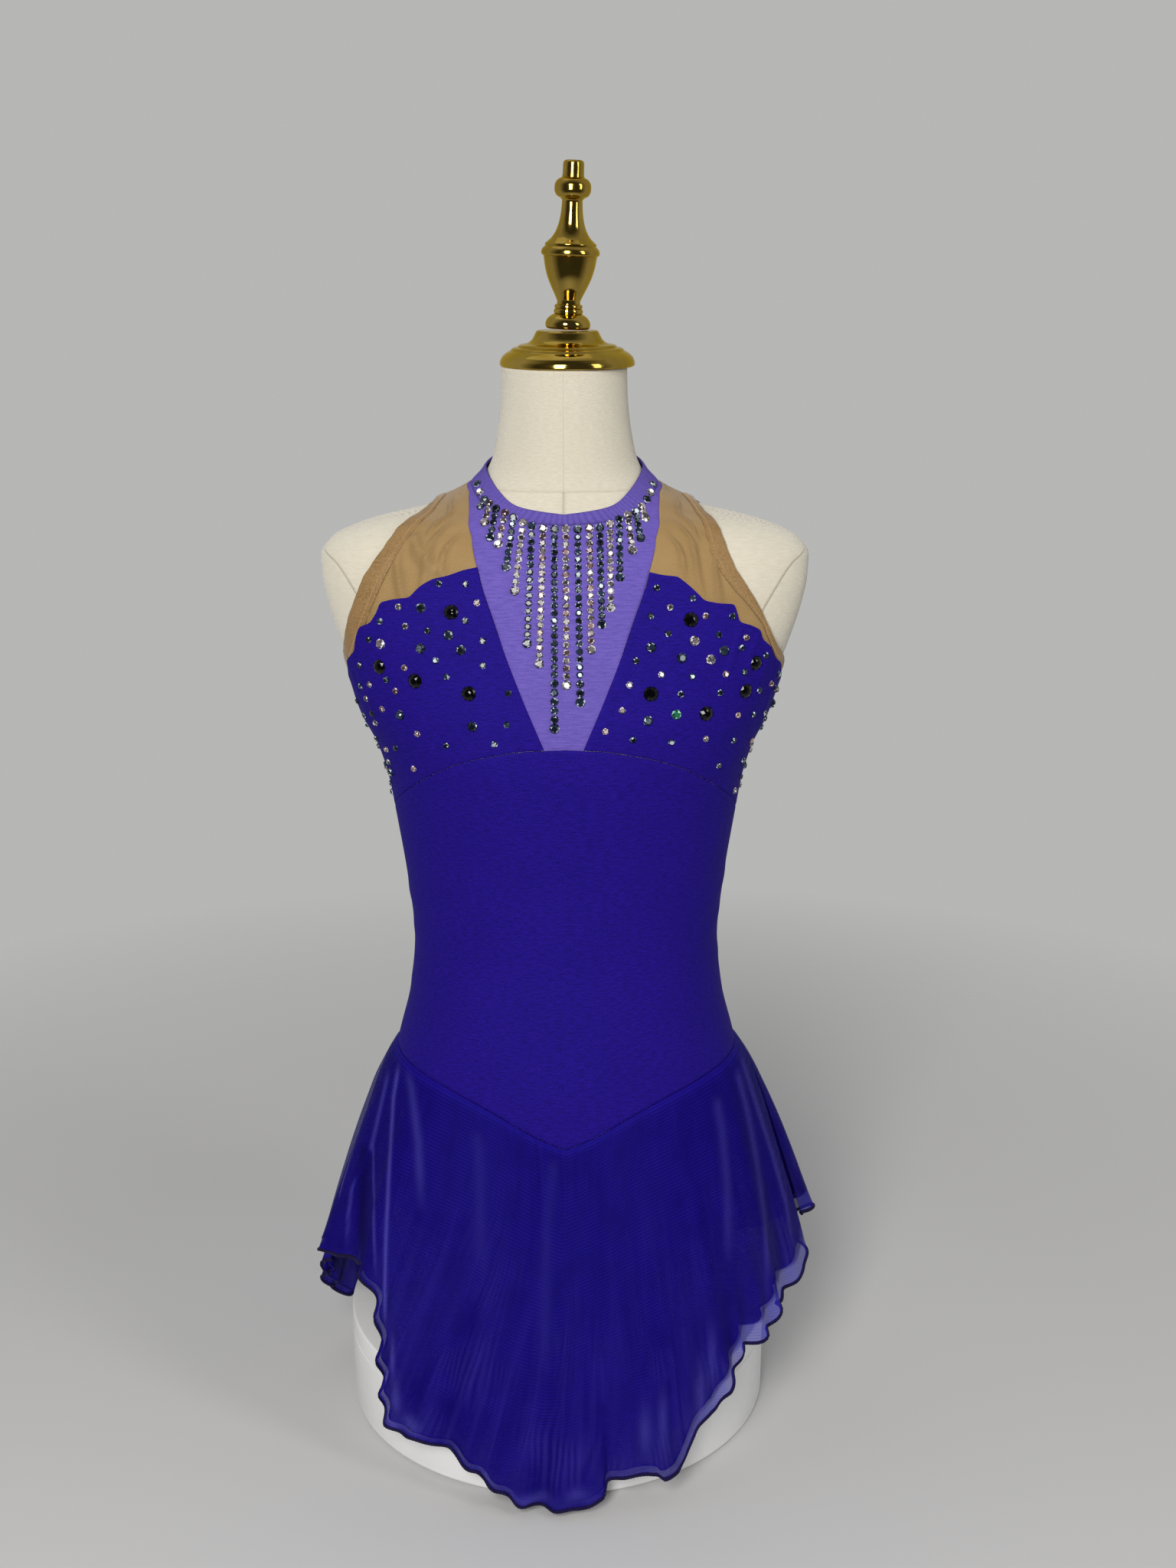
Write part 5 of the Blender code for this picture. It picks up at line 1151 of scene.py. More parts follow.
# Centre front panel: one layer of lavender tricot that runs from the neckband down to a narrow end at
# the underbust seam, with the yokes and the bust sewn on along its sides.
# angle, and height of the neckband's lower and upper edge
NECKBAND = ((0, 651, 658), (20, 654, 662), (40, 662, 670.5), (60, 668.5, 678), (80, 672, 683), (95, 673, 685),
            (120, 677, 689), (150, 682, 693), (200, 684, 695))


def seen_from_front(line):
    """Points on the form as x and height."""
    return np.stack([place(line)[..., 0], to_height(line[..., 1])], -1)


def back_on_form(view):
    """Points given as x and height, back on the form's front."""
    half = read(FORM_SECTIONS, 1, view[..., 1])
    power = read(FORM_SECTIONS, 4, view[..., 1])
    share = np.clip(np.abs(view[..., 0]) / half, 0.0, 1.0) ** (power / 2.0)
    return np.stack([np.sign(view[..., 0]) * np.degrees(np.arcsin(share)), to_travel(view[..., 1])], -1)


PANEL_SHOULDER = 89.5
panel_top = round_the_form(NECKBAND, -PANEL_SHOULDER, PANEL_SHOULDER)
panel_bottom = round_the_form(UNDERBUST, -PANEL_FOOT, PANEL_FOOT)
panel_side = np.concatenate([panel_top[-1:], panel_edge[1:]])
panel_side[-1] = panel_bottom[-1]
grid, edges = patch(panel_top, panel_bottom, panel_side * (-1.0, 1.0), panel_side, 2.0,
                    views=(seen_from_front, back_on_form))
seam_near = np.exp(-edges[0] / 3.0)
lift = 0.12 * seam_near * np.sin(grid[..., 0] * 2.9 + 1.5 * np.sin(grid[..., 0] * 0.4))
lift = lift + creases(grid, ((-6, 640, 80, 12, 3, 0.25), (8, 638, 100, 12, 3.2, 0.25),
                             (2, 600, 88, 30, 6, 0.2)))
panel = on_form("centre_front_panel_cloth", grid, edges, KNIT_WALL, lavender,
                ("centre_front_panel",), lift)


# Yokes: skin-toned power mesh between the panel and the armholes, and two back halves that part at
# centre back in a long keyhole. The mesh is soft, so it puckers beside its seams.
# angle and height under the bust's edge where the front mesh ends
YOKE_HIDDEN_EDGE = ((15.8, 613), (27, 600), (37, 589), (47, 574), (57, 561), (66, 554))
# height and angle of the keyhole's edge
KEYHOLE = ((517, 180), (552, 180), (566, 176.5), (590, 174.5), (620, 174.5), (650, 176), (670, 177.5),
           (684, 178.5))
BACK_NECK_END = 178.5

skin_mesh, tree, shader = start_finish("skin_power_mesh", (0.44, 0.285, 0.125), 0.62, Sheen_Weight=0.2,
                                       Sheen_Roughness=0.4, Specular_IOR_Level=0.3)
cut = cut_place(tree)
net = maths(tree, "MAXIMUM", *(waves(tree, where, "DIAGONAL", 520.0, 1.2, 1.0)
                               for where in (cut, stretched(tree, cut, (-1.0, 1.0, 1.0)))))
cloud = noise(tree, cut, 40.0, 4.0)
tone = mixed_colour(tree, spread_range(tree, net, 0.2, 0.8), (0.25, 0.148, 0.052), (0.35, 0.222, 0.085))
tone = mixed_colour(tree, spread_range(tree, cloud, 0.4, 0.7, 0.0, 0.35), tone, (0.40, 0.27, 0.12))
# darker where its mark is high: painted shade on the sides of the creases
tone = mixed_colour(tree, read_mark(tree, "painted_shade"), tone, (0.17, 0.098, 0.032))
tree.links.new(tone, shader.inputs["Base Color"])
tree.links.new(spread_range(tree, net, 0.1, 0.55, 0.62, 1.0), shader.inputs["Alpha"])
embossed(tree, shader, net, 0.6, 0.0002)

# height, and how many degrees nearer the centre the edge lies on the right and on the left of the view
ARM_EDGE_PULL = ((548, 0, 0), (556, 0, -2), (566, 0.5, -4), (573, 2, -4.5), (587, 2.6, -4.8),
                 (602, 3.4, -3.9), (617, 4.5, -3.7), (624, 4.8, -2.8), (631, 4.2, -2.3), (640, 3.2, -2),
                 (648, 1.4, -3), (654, 0, -2.5), (659, 0, 0))
# height, and the same for the line where the right binding is sewn on
ARM_SEAM_PULL = ((587, 0), (594, 1.5), (602, 3), (612, 5), (624, 6), (634, 5.5), (642, 4), (650, 2),
                 (657, 0))


def pulled(line, degrees):
    """The line moved this far towards centre front, as far back as just behind the side."""
    moved = np.array(line)
    moved[..., 0] -= degrees * (line[..., 0] < 92.0)
    return moved


hidden_row = int(np.argmin(np.abs(panel_edge[:, 1] - to_travel(YOKE_HIDDEN_EDGE[0][1]))))
yoke_inner = panel_edge[:hidden_row + 1]
yoke_outer = armhole_seam[:yoke_end + 1]
yoke_bottom = drawn(YOKE_HIDDEN_EDGE + ((float(yoke_outer[-1, 0]), float(to_height(yoke_outer[-1, 1]))),))
yoke_bottom[0], yoke_bottom[-1] = yoke_inner[-1], yoke_outer[-1]
grid, edges = patch(straight(yoke_inner[0], yoke_outer[0]), yoke_bottom, yoke_inner, yoke_outer, 2.0)
shown = np.clip((edges[1] - 7.0) / 9.0, 0.0, 1.0)
for side, tag in ((-1, "left"), (1, "right")):
    lift = creases(grid, ((60, 660, 20, 16, 1.5, 0.6), (50, 656, 40, 18, 1.6, 0.65),
                          (42, 650, 62, 22, 1.7, 0.7), (34, 643, 74, 22, 1.6, 0.65),
                          (27, 634, 82, 18, 1.4, 0.55), (47, 640, 96, 20, 1.6, 0.6),
                          (50, 614, 112, 20, 1.8, 0.5), (38, 620, 80, 24, 2.4, 0.5),
                          (31, 626, 88, 20, 1.8, 0.45), (43, 628, 104, 18, 1.6, 0.45)))
    if side < 0:
        lift += creases(grid, ((34, 634, 44, 20, 3.2, 0.6), (52, 600, 60, 14, 3, 0.5)))
    lift = np.clip(lift * 1.9 * shown, 0.0, 2.2)
    lift += 0.10 * np.exp(-np.minimum(edges[2], edges[3]) / 3.0) * np.sin(edges[0] * 1.6) * shown
    # how steep the creases are, kept as painted shade on their sides
    slope_shade = np.hypot(*np.gradient(lift))
    slope_shade = np.clip(slope_shade / np.percentile(slope_shade, 97), 0.0, 1.0) * 0.42 * shown
    if side < 0:
        use, near, lift, slope_shade = other_side(grid, edges, lift, slope_shade)
    else:
        towards_arm = np.clip(edges[2] / (edges[2] + edges[3]), 0.0, 1.0)
        use = pulled(grid, read(ARM_SEAM_PULL, 1, to_height(grid[..., 1])) * towards_arm ** 1.5)
        near = edges
    piece = on_form("yoke_front_%s_cloth" % tag, use, near, MESH_WALL, skin_mesh,
                    ("yoke_front_" + tag,), lift)
    mark(piece, "painted_shade", slope_shade)

neck_back = round_the_form(NECKBAND, 90.0, BACK_NECK_END)
key_heights = np.linspace(KEYHOLE[-1][0], KEYHOLE[0][0], 400)
key_line = np.stack([read(KEYHOLE, 1, key_heights), to_travel(key_heights)], -1)
key_line[0] = neck_back[-1]
outer_back = np.concatenate([neck_back[:1], yoke_inner[:1], armhole_seam[:1], armhole_seam[:underarm - 1:-1]])
grid, edges = patch(neck_back, round_the_form(back_table, UNDERARM[0], 180.0), outer_back, key_line, 2.4)
for side, tag in ((-1, "left"), (1, "right")):
    lift = creases(grid, ((150, 660, 70, 20, 3.4, 0.5), (135, 640, 110, 20, 3.6, 0.5),
                          (150, 600, 84, 34, 6, 0.4), (120, 545, 40, 20, 4, 0.5),
                          (165, 560, 100, 20, 4, 0.45), (112, 665, 130, 12, 3, 0.4)))
    use, near, lift = other_side(grid, edges, lift) if side < 0 else (grid, edges, lift)
    piece = on_form("yoke_back_%s_cloth" % tag, use, near, MESH_WALL, skin_mesh,
                    ("yoke_back_" + tag,), lift, sewn=(1, 1, 1, 0) if side > 0 else (1, 1, 0, 1))


# Armhole bindings: the mesh turned under in a hem round each armhole and held by a zigzag
# coverstitch. Each stitch is a short thread laid by a Geometry Nodes tree.
BINDING_WALL = 1.6
# how far in from the arm the coverstitch runs
STITCH_LINE = 5.6
binding_finish, tree, shader = start_finish("binding_tricot", (0.40, 0.25, 0.105), 0.6, Sheen_Weight=0.25,
                                            Sheen_Roughness=0.4, Specular_IOR_Level=0.25)
cut = cut_place(tree)
knit = noise(tree, cut, 700.0, 2.0)
cloud = noise(tree, cut, 60.0, 3.0)
tone = mixed_colour(tree, spread_range(tree, knit, 0.35, 0.65), (0.20, 0.115, 0.040), (0.29, 0.175, 0.070))
tone = mixed_colour(tree, spread_range(tree, cloud, 0.4, 0.7, 0.0, 0.4), tone, (0.33, 0.21, 0.09))
tree.links.new(tone, shader.inputs["Base Color"])
embossed(tree, shader, knit, 0.5, 0.0002)
thread_tan = start_finish("stitch_thread_tan", (0.42, 0.27, 0.12), 0.5, Sheen_Weight=0.1,
                          Sheen_Roughness=0.3)[0]


def spread_tree():
    """Geometry Nodes tree that sets one shape on every point, turned by the points' own directions."""
    tree = bpy.data.node_groups.new("spread_on_points", "GeometryNodeTree")
    for title, kind in (("Points", "NodeSocketGeometry"), ("Shape", "NodeSocketObject"),
                        ("Finish", "NodeSocketMaterial")):
        tree.interface.new_socket(name=title, in_out="INPUT", socket_type=kind)
    tree.interface.new_socket(name="Result", in_out="OUTPUT", socket_type="NodeSocketGeometry")
    start = add(tree, "NodeGroupInput")
    out, along, size = (add(tree, "GeometryNodeInputNamedAttribute", {"Name": title},
                            data_type="FLOAT_VECTOR").outputs["Attribute"]
                        for title in ("out", "along", "size"))
    upright = add(tree, "FunctionNodeAlignRotationToVector", {"Vector": out}, axis="Z")
    facing = add(tree, "FunctionNodeAlignRotationToVector",
                 {"Rotation": upright.outputs["Rotation"], "Vector": along}, axis="X", pivot_axis="Z")
    shape = add(tree, "GeometryNodeObjectInfo", {"Object": start.outputs["Shape"]})
    spread = add(tree, "GeometryNodeInstanceOnPoints",
                 {"Points": start.outputs["Points"], "Instance": shape.outputs["Geometry"],
                  "Rotation": facing.outputs["Rotation"], "Scale": size})
    real = add(tree, "GeometryNodeRealizeInstances", {"Geometry": spread.outputs["Instances"]})
    finish = add(tree, "GeometryNodeSetMaterial", {"Geometry": real.outputs["Geometry"],
                                                   "Material": start.outputs["Finish"]})
    end = add(tree, "NodeGroupOutput")
    tree.links.new(finish.outputs["Geometry"], end.inputs["Result"])
    return tree, {item.name: item.identifier for item in tree.interface.items_tree if item.in_out == "INPUT"}


spread_nodes, spread_sockets = spread_tree()


def shape_mesh(name, points, faces, sharp):
    """A small shape to be repeated, in millimetres about its own origin, kept out of the scene."""
    mesh = bpy.data.meshes.new(name)
    mesh.from_pydata((np.asarray(points, float) * MM).tolist(), [], faces)
    mesh.polygons.foreach_set("use_smooth", np.full(len(mesh.polygons), not sharp))
    return bpy.data.objects.new(name, mesh)


def spread_out(name, seats, out, along, size, shape, material, instead_of=()):
    """Sets the shape on every seat and keeps the result as one finished piece."""
    points = bpy.data.meshes.new(name + "_points")
    points.from_pydata(((np.asarray(seats, float) + FORM_AXIS) * MM).tolist(), [], [])
    for title, values in (("out", out), ("along", along), ("size", size)):
        layer = points.attributes.new(title, "FLOAT_VECTOR", "POINT")
        layer.data.foreach_set("vector", np.asarray(values, np.float32).ravel())
    lot = points.attributes.new("lot", "FLOAT", "POINT")
    lot.data.foreach_set("value", np.arange(len(seats), dtype=np.float32))
    carrier = into_scene(name + "_carrier", points)
    modifier = carrier.modifiers.new("spread", "NODES")
    modifier.node_group = spread_nodes
    modifier[spread_sockets["Shape"]] = shape
    modifier[spread_sockets["Finish"]] = material
    mesh = bpy.data.meshes.new_from_object(carrier.evaluated_get(bpy.context.evaluated_depsgraph_get()))
    bpy.data.objects.remove(carrier)
    mesh.name = name
    return dressed(into_scene(name, mesh), instead_of)


def thread_shape():
    """One stitch: a short six-sided thread that dips at both ends, 1 mm long and 1 mm thick."""
    rings = ((-0.5, -0.42, 0.24), (-0.34, 0.0, 0.46), (0.0, 0.16, 0.5), (0.34, 0.0, 0.46), (0.5, -0.42, 0.24))
    turns = [math.pi / 3.0 * k for k in range(6)]
    points = np.array([(x, r * math.cos(t), z + r * math.sin(t)) for x, z, r in rings for t in turns])
    faces = [face[::-1] for face in grid_faces(len(rings), 6, True)]
    faces += [list(range(6))[::-1], list(range(24, 30))]
    a, b, c = (points[i] for i in faces[0][:3])
    if np.dot(np.cross(b - a, c - a), points[list(faces[0])].mean(0) - (points[:12].mean(0))) < 0:
        faces = [f[::-1] for f in faces]
    return shape_mesh("stitch_shape", points, faces, False)


stitch = thread_shape()


def zigzag(name, line, surface, pitch, swing, thick, material):
    """A row of slanted stitches along a line on the form, at a height over it."""
    count = int(runs_of(line)[-1] / pitch)
    even = lay(line, np.linspace(0.0, 1.0, count + 1))
    here = place(even)
    out = form_normal(even[:, 0], to_height(even[:, 1]))
    side = np.cross(out, unit(np.gradient(here, axis=0)))
    shift = np.where(np.arange(len(here)) % 2 == 0, 0.5, -0.5)[:, None] * swing
    ends = here + side * shift
    seats = 0.5 * (ends[1:] + ends[:-1]) + out[1:] * surface
    along = ends[1:] - ends[:-1]
    long = np.linalg.norm(along, axis=1)
    size = np.stack([long * 1.02, np.full(len(long), thick), np.full(len(long), thick)], -1)
    return spread_out(name, seats, out[1:], along, size, stitch, material)


for side, tag in ((-1, "left"), (1, "right")):
    flip = (-1.0, 1.0) if side < 0 else (1.0, 1.0)
    across = np.array([0.0, 0.3, 0.8, 1.5, 2.4, 3.4, 4.4, 5.4, 6.2, 6.9, 7.3, 7.5]) / BINDING_WIDTH
    edge_line = pulled(armhole_edge, read(ARM_EDGE_PULL, 1 if side > 0 else 2, to_height(armhole_edge[:, 1])))
    seam_line = pulled(armhole_seam, read(ARM_SEAM_PULL, 1, to_height(armhole_seam[:, 1])) * (side > 0))
    grid = ((1 - across)[:, None, None] * edge_line[None] + across[:, None, None] * seam_line[None]) * flip
    if side < 0:
        grid = grid[:, ::-1]
    far = np.full(grid.shape[:2], 99.0)
    edges = np.stack([np.broadcast_to((across * BINDING_WIDTH)[:, None], far.shape),
                      np.broadcast_to(((1 - across) * BINDING_WIDTH)[:, None], far.shape), far, far])
    round_run = full_turn(ARMHOLE_COUNT)
    lift = 0.10 * np.sin(round_run * 41.0 + 2.0 * np.sin(round_run * 5.0))[None] * np.ones((len(across), 1))
    lift = lift - 0.16 * np.exp(-((across * BINDING_WIDTH - STITCH_LINE) / 0.9) ** 2)[:, None]
    binding = on_form("armhole_binding_%s_cloth" % tag, grid, edges, BINDING_WALL, binding_finish,
                      ("armhole_binding_" + tag,), lift, sewn=(0.55, 0.9, 0, 0), closed=True)
    held_at = (1 - STITCH_LINE / BINDING_WIDTH) * edge_line + STITCH_LINE / BINDING_WIDTH * seam_line
    held_at = held_at * flip
    held_at = np.concatenate([held_at, held_at[:1]])
    stitches = zigzag("armhole_zigzag_" + tag, held_at, CLEARANCE + BINDING_WALL - 0.14, 1.0, 1.7, 0.34,
                      thread_tan)


# Neckband and button: a narrow doubled band of lavender tricot, gathered slightly as it was sewn, so
# that its face puckers; the ends lap at the nape under a small covered button.
BAND_LAP_END = 195.0
band_top = round_the_form(NECKBAND, -BACK_NECK_END, BAND_LAP_END, 2)
band_low = round_the_form(NECKBAND, -BACK_NECK_END, BAND_LAP_END, 1)
grid, edges = patch(band_top, band_low, straight(band_top[0], band_low[0]),
                    straight(band_top[-1], band_low[-1]), (0.55, 1.1))
lap = np.clip((grid[..., 0] - 165.0) / 13.0, 0.0, 1.0)
run = grid[..., 0] * 1.25
tight = 0.35 + 0.65 * np.exp(-(grid[..., 0] / 45.0) ** 2)
phase = run * math.tau / 3.1 + 2.2 * np.sin(run * 0.21) + 1.1 * np.sin(run * 0.083)
puckers = 0.36 * tight * np.sin(phase)
across = edges[0] / (edges[0] + edges[1])
puckers *= 0.35 + 0.65 * (np.exp(-((across - 0.82) / 0.3) ** 2) + 0.6 * np.exp(-((across - 0.12) / 0.2) ** 2))
roll = 0.22 * np.sin(math.pi * across) ** 0.6
band = on_form("neckband_cloth", grid, edges, 1.25 + roll + puckers, band_lavender,
               ("neckband",), OVERLAY_STEP * eased(lap), sewn=(0.5, 0.5, 0.3, 0.3))
# painted shade in the puckers' valleys, along the lower seam and under the top edge
painted_shade = np.clip(-puckers / 0.22, 0.0, 1.0) * 0.36 + 0.45 * np.clip(1.0 - edges[1] / 1.3, 0.0, 1.0)
mark(band, "painted_shade", np.clip(painted_shade + 0.35 * np.clip(1.0 - edges[0] / 0.9, 0.0, 1.0), 0.0, 1.0))
BUTTON_PROFILE = ((0, 0), (4.3, 0), (4.75, 0.2), (4.98, 0.6), (5, 1), (4.85, 1.6), (4.4, 2.1), (3.6, 2.55),
                  (2.4, 2.8), (1.2, 2.88), (0, 2.9))
BUTTON_HEIGHT = 689.5
BUTTON_SIDES = 32
button_out = form_normal(180.0, BUTTON_HEIGHT)
button_at = form_point(180.0, BUTTON_HEIGHT) + button_out * 4.4
turn = full_turn(BUTTON_SIDES)[:, None]
first = np.array([1.0, 0.0, 0.0])
second = np.cross(button_out, first)
rows = np.array(BUTTON_PROFILE)
points = [button_at]
for radius, high in rows[1:-1]:
    points.extend(button_at + button_out * high + radius * (np.cos(turn) * first + np.sin(turn) * second))
points.append(button_at + button_out * rows[-1, 1])
last = len(points) - 1
faces = []
for k in range(BUTTON_SIDES):
    n = (k + 1) % BUTTON_SIDES
    faces += [(0, 1 + n, 1 + k), (last, last - BUTTON_SIDES + k, last - BUTTON_SIDES + n)]
    for low in range(1, last - BUTTON_SIDES, BUTTON_SIDES):
        faces.append((low + k, low + n, low + BUTTON_SIDES + n, low + BUTTON_SIDES + k))
uv = np.array([((p - button_at) @ first, (p - button_at) @ second) for p in points])
make_piece("neck_button_covered", points, faces, lavender, uv, ("neck_button",), 50.0)


# Large stones: nine flat-backed 10 mm jet stones glued on the bust among the small ones, four on the
# left piece and five on the right one.
# side, angle and height
LARGE_STONES = ((-1, 22.7, 598), (-1, 49, 561), (-1, 36.5, 554), (-1, 20.6, 548), (1, 26.6, 593),
                (1, 51.7, 563), (1, 51, 545), (1, 18.5, 548), (1, 37.1, 533))

# how far over the form the look for the cloth starts, and how far down a stone goes where none is met
LOOK_FROM = 15.0
NO_CLOTH = 12.6


def faces_of(pieces):
    """One search tree over the pieces' faces, in millimetres from the form's axis."""
    corners, faces = [], []
    for piece in pieces:
        here = np.zeros(len(piece.data.vertices) * 3)
        piece.data.vertices.foreach_get("co", here)
        start = len(corners)
        corners.extend(here.reshape(-1, 3) / MM - FORM_AXIS)
        faces.extend(tuple(start + i for i in polygon.vertices) for polygon in piece.data.polygons)
    return BVHTree.FromPolygons([Vector(c) for c in corners], faces)


def seated(tree, rows, above):
    """Where stones at these angles and heights sit on the cloth, and which way they face."""
    seats, outs = [], []
    for angle, height in rows:
        out = form_normal(float(angle), float(height))
        start = form_point(float(angle), float(height)) + out * LOOK_FROM
        touch, facing, _, _ = tree.ray_cast(Vector(start), Vector(-out), 2.0 * LOOK_FROM)
        if touch is None:
            touch, facing = Vector(start - out * NO_CLOTH), Vector(out)
        facing = unit(out * 0.6 + np.array(facing) * 0.4)
        outs.append(facing)
        seats.append(np.array(touch) + facing * above)
    return np.array(seats), np.array(outs)


def facings(count, step):
    """Directions that turn on by one step from stone to stone."""
    turn = np.arange(count) * step
    return np.stack([np.cos(turn), np.zeros(count), np.sin(turn)], -1)


def cut_stone(name, sides, rings):
    """A flat-backed faceted stone one millimetre across: rings of radius, height and half turns."""
    points = []
    for r, z, half in rings:
        turns = [math.tau * (k + 0.5 * half) / sides for k in range(sides)]
        points += [(r * math.cos(t), r * math.sin(t), z) for t in turns]
    faces = [tuple(range(sides))[::-1]]
    for i in range(len(rings) - 1):
        a, b = i * sides, (i + 1) * sides
        for k in range(sides):
            n = (k + 1) % sides
            if rings[i][2] == rings[i + 1][2]:
                faces.append((a + k, a + n, b + n, b + k))
            elif rings[i + 1][2] > rings[i][2]:
                faces.append((a + k, a + n, b + k))
                faces.append((a + n, b + n, b + k))
            else:
                faces.append((a + k, b + n, b + k))
                faces.append((a + k, a + n, b + n))
    faces.append(tuple(range((len(rings) - 1) * sides, len(rings) * sides)))
    stone = shape_mesh(name, points, faces, True)
    facet = stone.data.attributes.new("facet", "FLOAT", "FACE")
    facet.data.foreach_set("value", np.arange(len(faces), dtype=np.float32))
    return stone


jet = start_finish("jet_stone", (0.0008, 0.0008, 0.0014), 0.02, Specular_IOR_Level=0.30, Coat_Weight=0.0)[0]
round_stone = cut_stone("round_stone", 9, ((0.5, 0.0, 0), (0.5, 0.03, 0), (0.38, 0.15, 1), (0.22, 0.24, 0),
                                           (0.12, 0.26, 1)))
bust_faces = {side: faces_of([piece]) for side, piece in busts.items()}
seats, outs = [], []
for side, angle, height in LARGE_STONES:
    here, out = seated(bust_faces[side], [(side * angle, height)], 0.06)
    seats.append(here[0])
    outs.append(out[0])
large = len(LARGE_STONES)
spread_out("bust_jewels_faceted", seats, outs, facings(large, 1.3), np.full((large, 3), 10.0), round_stone,
           jet, tuple("bust_jewel_%d" % (i + 1) for i in range(large)))


# Strands: rows of small glued crystals that hang from the neckband down the centre panel like icicles,
# long ones in the middle, with two short runs up along the band to the shoulders.
# x and height at the top, x and height at the end, kind of stone, and how many dark ones end the strand
STRANDS = ((-47.6, 662.7, -50.6, 651.7, "clear", 0), (-43.2, 659.9, -47, 643.4, "dark", 0),
           (-37.4, 657.8, -41.9, 639.5, "pink", 0), (-32.2, 655.3, -36.6, 626.1, "dark", 0),
           (-26, 652.6, -31.2, 611.8, "clear", 0), (-20.3, 650.6, -23.3, 579.9, "dark", 0),
           (-13.1, 649.3, -15.6, 567.5, "pink", 0), (-5.9, 648.8, -5.9, 527, "dark", 6),
           (1.2, 649.1, 1.8, 554.3, "pink", 0), (8.8, 648.9, 10.6, 543.6, "dark", 3),
           (16.3, 649.4, 17.6, 576.2, "pink", 0), (22.9, 649.6, 24.3, 591.6, "dark", 0),
           (29.5, 651.6, 30, 601.8, "clear", 0), (35.4, 654.2, 35.8, 620, "dark", 0),
           (40.8, 656.4, 43.8, 635.8, "clear", 0), (45.6, 658, 49, 643, "dark", 0),
           (49.7, 660.8, 52.1, 654, "clear", 0))
# x, height and kind of the single stones that carry the row up to the shoulders
SINGLES = ((-50.8, 664.6, "dark"), (-53.4, 660.8, "dark"), (-53.7, 668.3, "clear"), (-55.4, 672.2, "dark"),
           (52.8, 664.7, "dark"), (55, 668, "clear"), (56.7, 671.8, "dark"))
# from stone to stone down a strand: the first step, the ones below it, the last one and the dark ones'
TOP_STEP = 5.3
STEP = 4.85
END_STEP = 5.5
DARK_STEP = 5.7
small_stone = cut_stone("small_stone", 8, ((0.5, 0.0, 0), (0.5, 0.05, 0), (0.43, 0.20, 1), (0.27, 0.36, 0)))


def crystal(name, deep, body, painted_glint, share):
    """Foil-backed crystal cut in facets: each facet of each stone is painted deep, middling or bright,
    painted reflections and glints in place of the foil's mirror.
    """
    material, tree, shader = start_finish(name, body, 0.06, Specular_IOR_Level=0.32, Coat_Weight=0.0)
    number = maths(tree, "MULTIPLY_ADD", read_mark(tree, "lot"), 41.0, read_mark(tree, "facet"))
    luck = add(tree, "ShaderNodeTexWhiteNoise", {"W": number}, noise_dimensions="1D").outputs["Value"]
    tone = mixed_colour(tree, spread_range(tree, luck, 0.38, 0.70), deep, body)
    # a share of facets near white: painted glints
    tone = mixed_colour(tree, spread_range(tree, luck, 1.0 - share, 1.0 - 0.6 * share), tone, painted_glint)
    tree.links.new(tone, shader.inputs["Base Color"])
    return material


crystal_finish = {
    "clear": crystal("crystal_clear", (0.022, 0.019, 0.026), (0.30, 0.25, 0.255), (1.0, 1.0, 1.0), 0.26),
    "pink": crystal("crystal_rose", (0.034, 0.019, 0.025), (0.34, 0.215, 0.215), (1.0, 0.92, 0.92), 0.24),
    "dark": crystal("crystal_night", (0.003, 0.004, 0.008), (0.018, 0.036, 0.066), (0.75, 0.88, 0.95), 0.13),
    "green": crystal("crystal_emerald", (0.01, 0.06, 0.035), (0.05, 0.30, 0.17), (0.55, 0.95, 0.75), 0.30)}
panel_faces = faces_of([panel, band])
places = {kind: [] for kind in crystal_finish}


def set_at(view, kind, size):
    """Stones of these kinds and sizes at these places, given as x and height."""
    even = back_on_form(np.asarray(view, float))
    here, out = seated(panel_faces, np.stack([even[:, 0], to_height(even[:, 1])], -1), -0.05)
    for row in zip(kind, here, out, size):
        places[row[0]].append(row[1:])


for number, (start_x, start_height, end_x, end_height, kind, dark_ends) in enumerate(STRANDS):
    line = back_on_form(np.linspace((start_x, start_height), (end_x, end_height), 90))
    tail = [DARK_STEP] * dark_ends or [END_STEP]
    steps = [TOP_STEP] + [STEP] * int(round((runs_of(line)[-1] - TOP_STEP - sum(tail)) / STEP)) + tail
    share = np.concatenate([[0.0], np.cumsum(steps)]) / np.sum(steps)
    count = len(share)
    kinds = [kind if kind != "pink" or (i * 7 + number * 3) % 5 < 2 else "clear" for i in range(count)]
    sizes = [6.0] + [STEP] * (count - 2) + [6.4]
    for i in range(dark_ends):
        kinds[count - 1 - i] = "dark"
        sizes[count - 1 - i] = 5.6 if i else 6.8
    set_at(seen_from_front(lay(line, share)), kinds, sizes)
set_at([row[:2] for row in SINGLES], [row[2] for row in SINGLES], [5.8] * len(SINGLES))


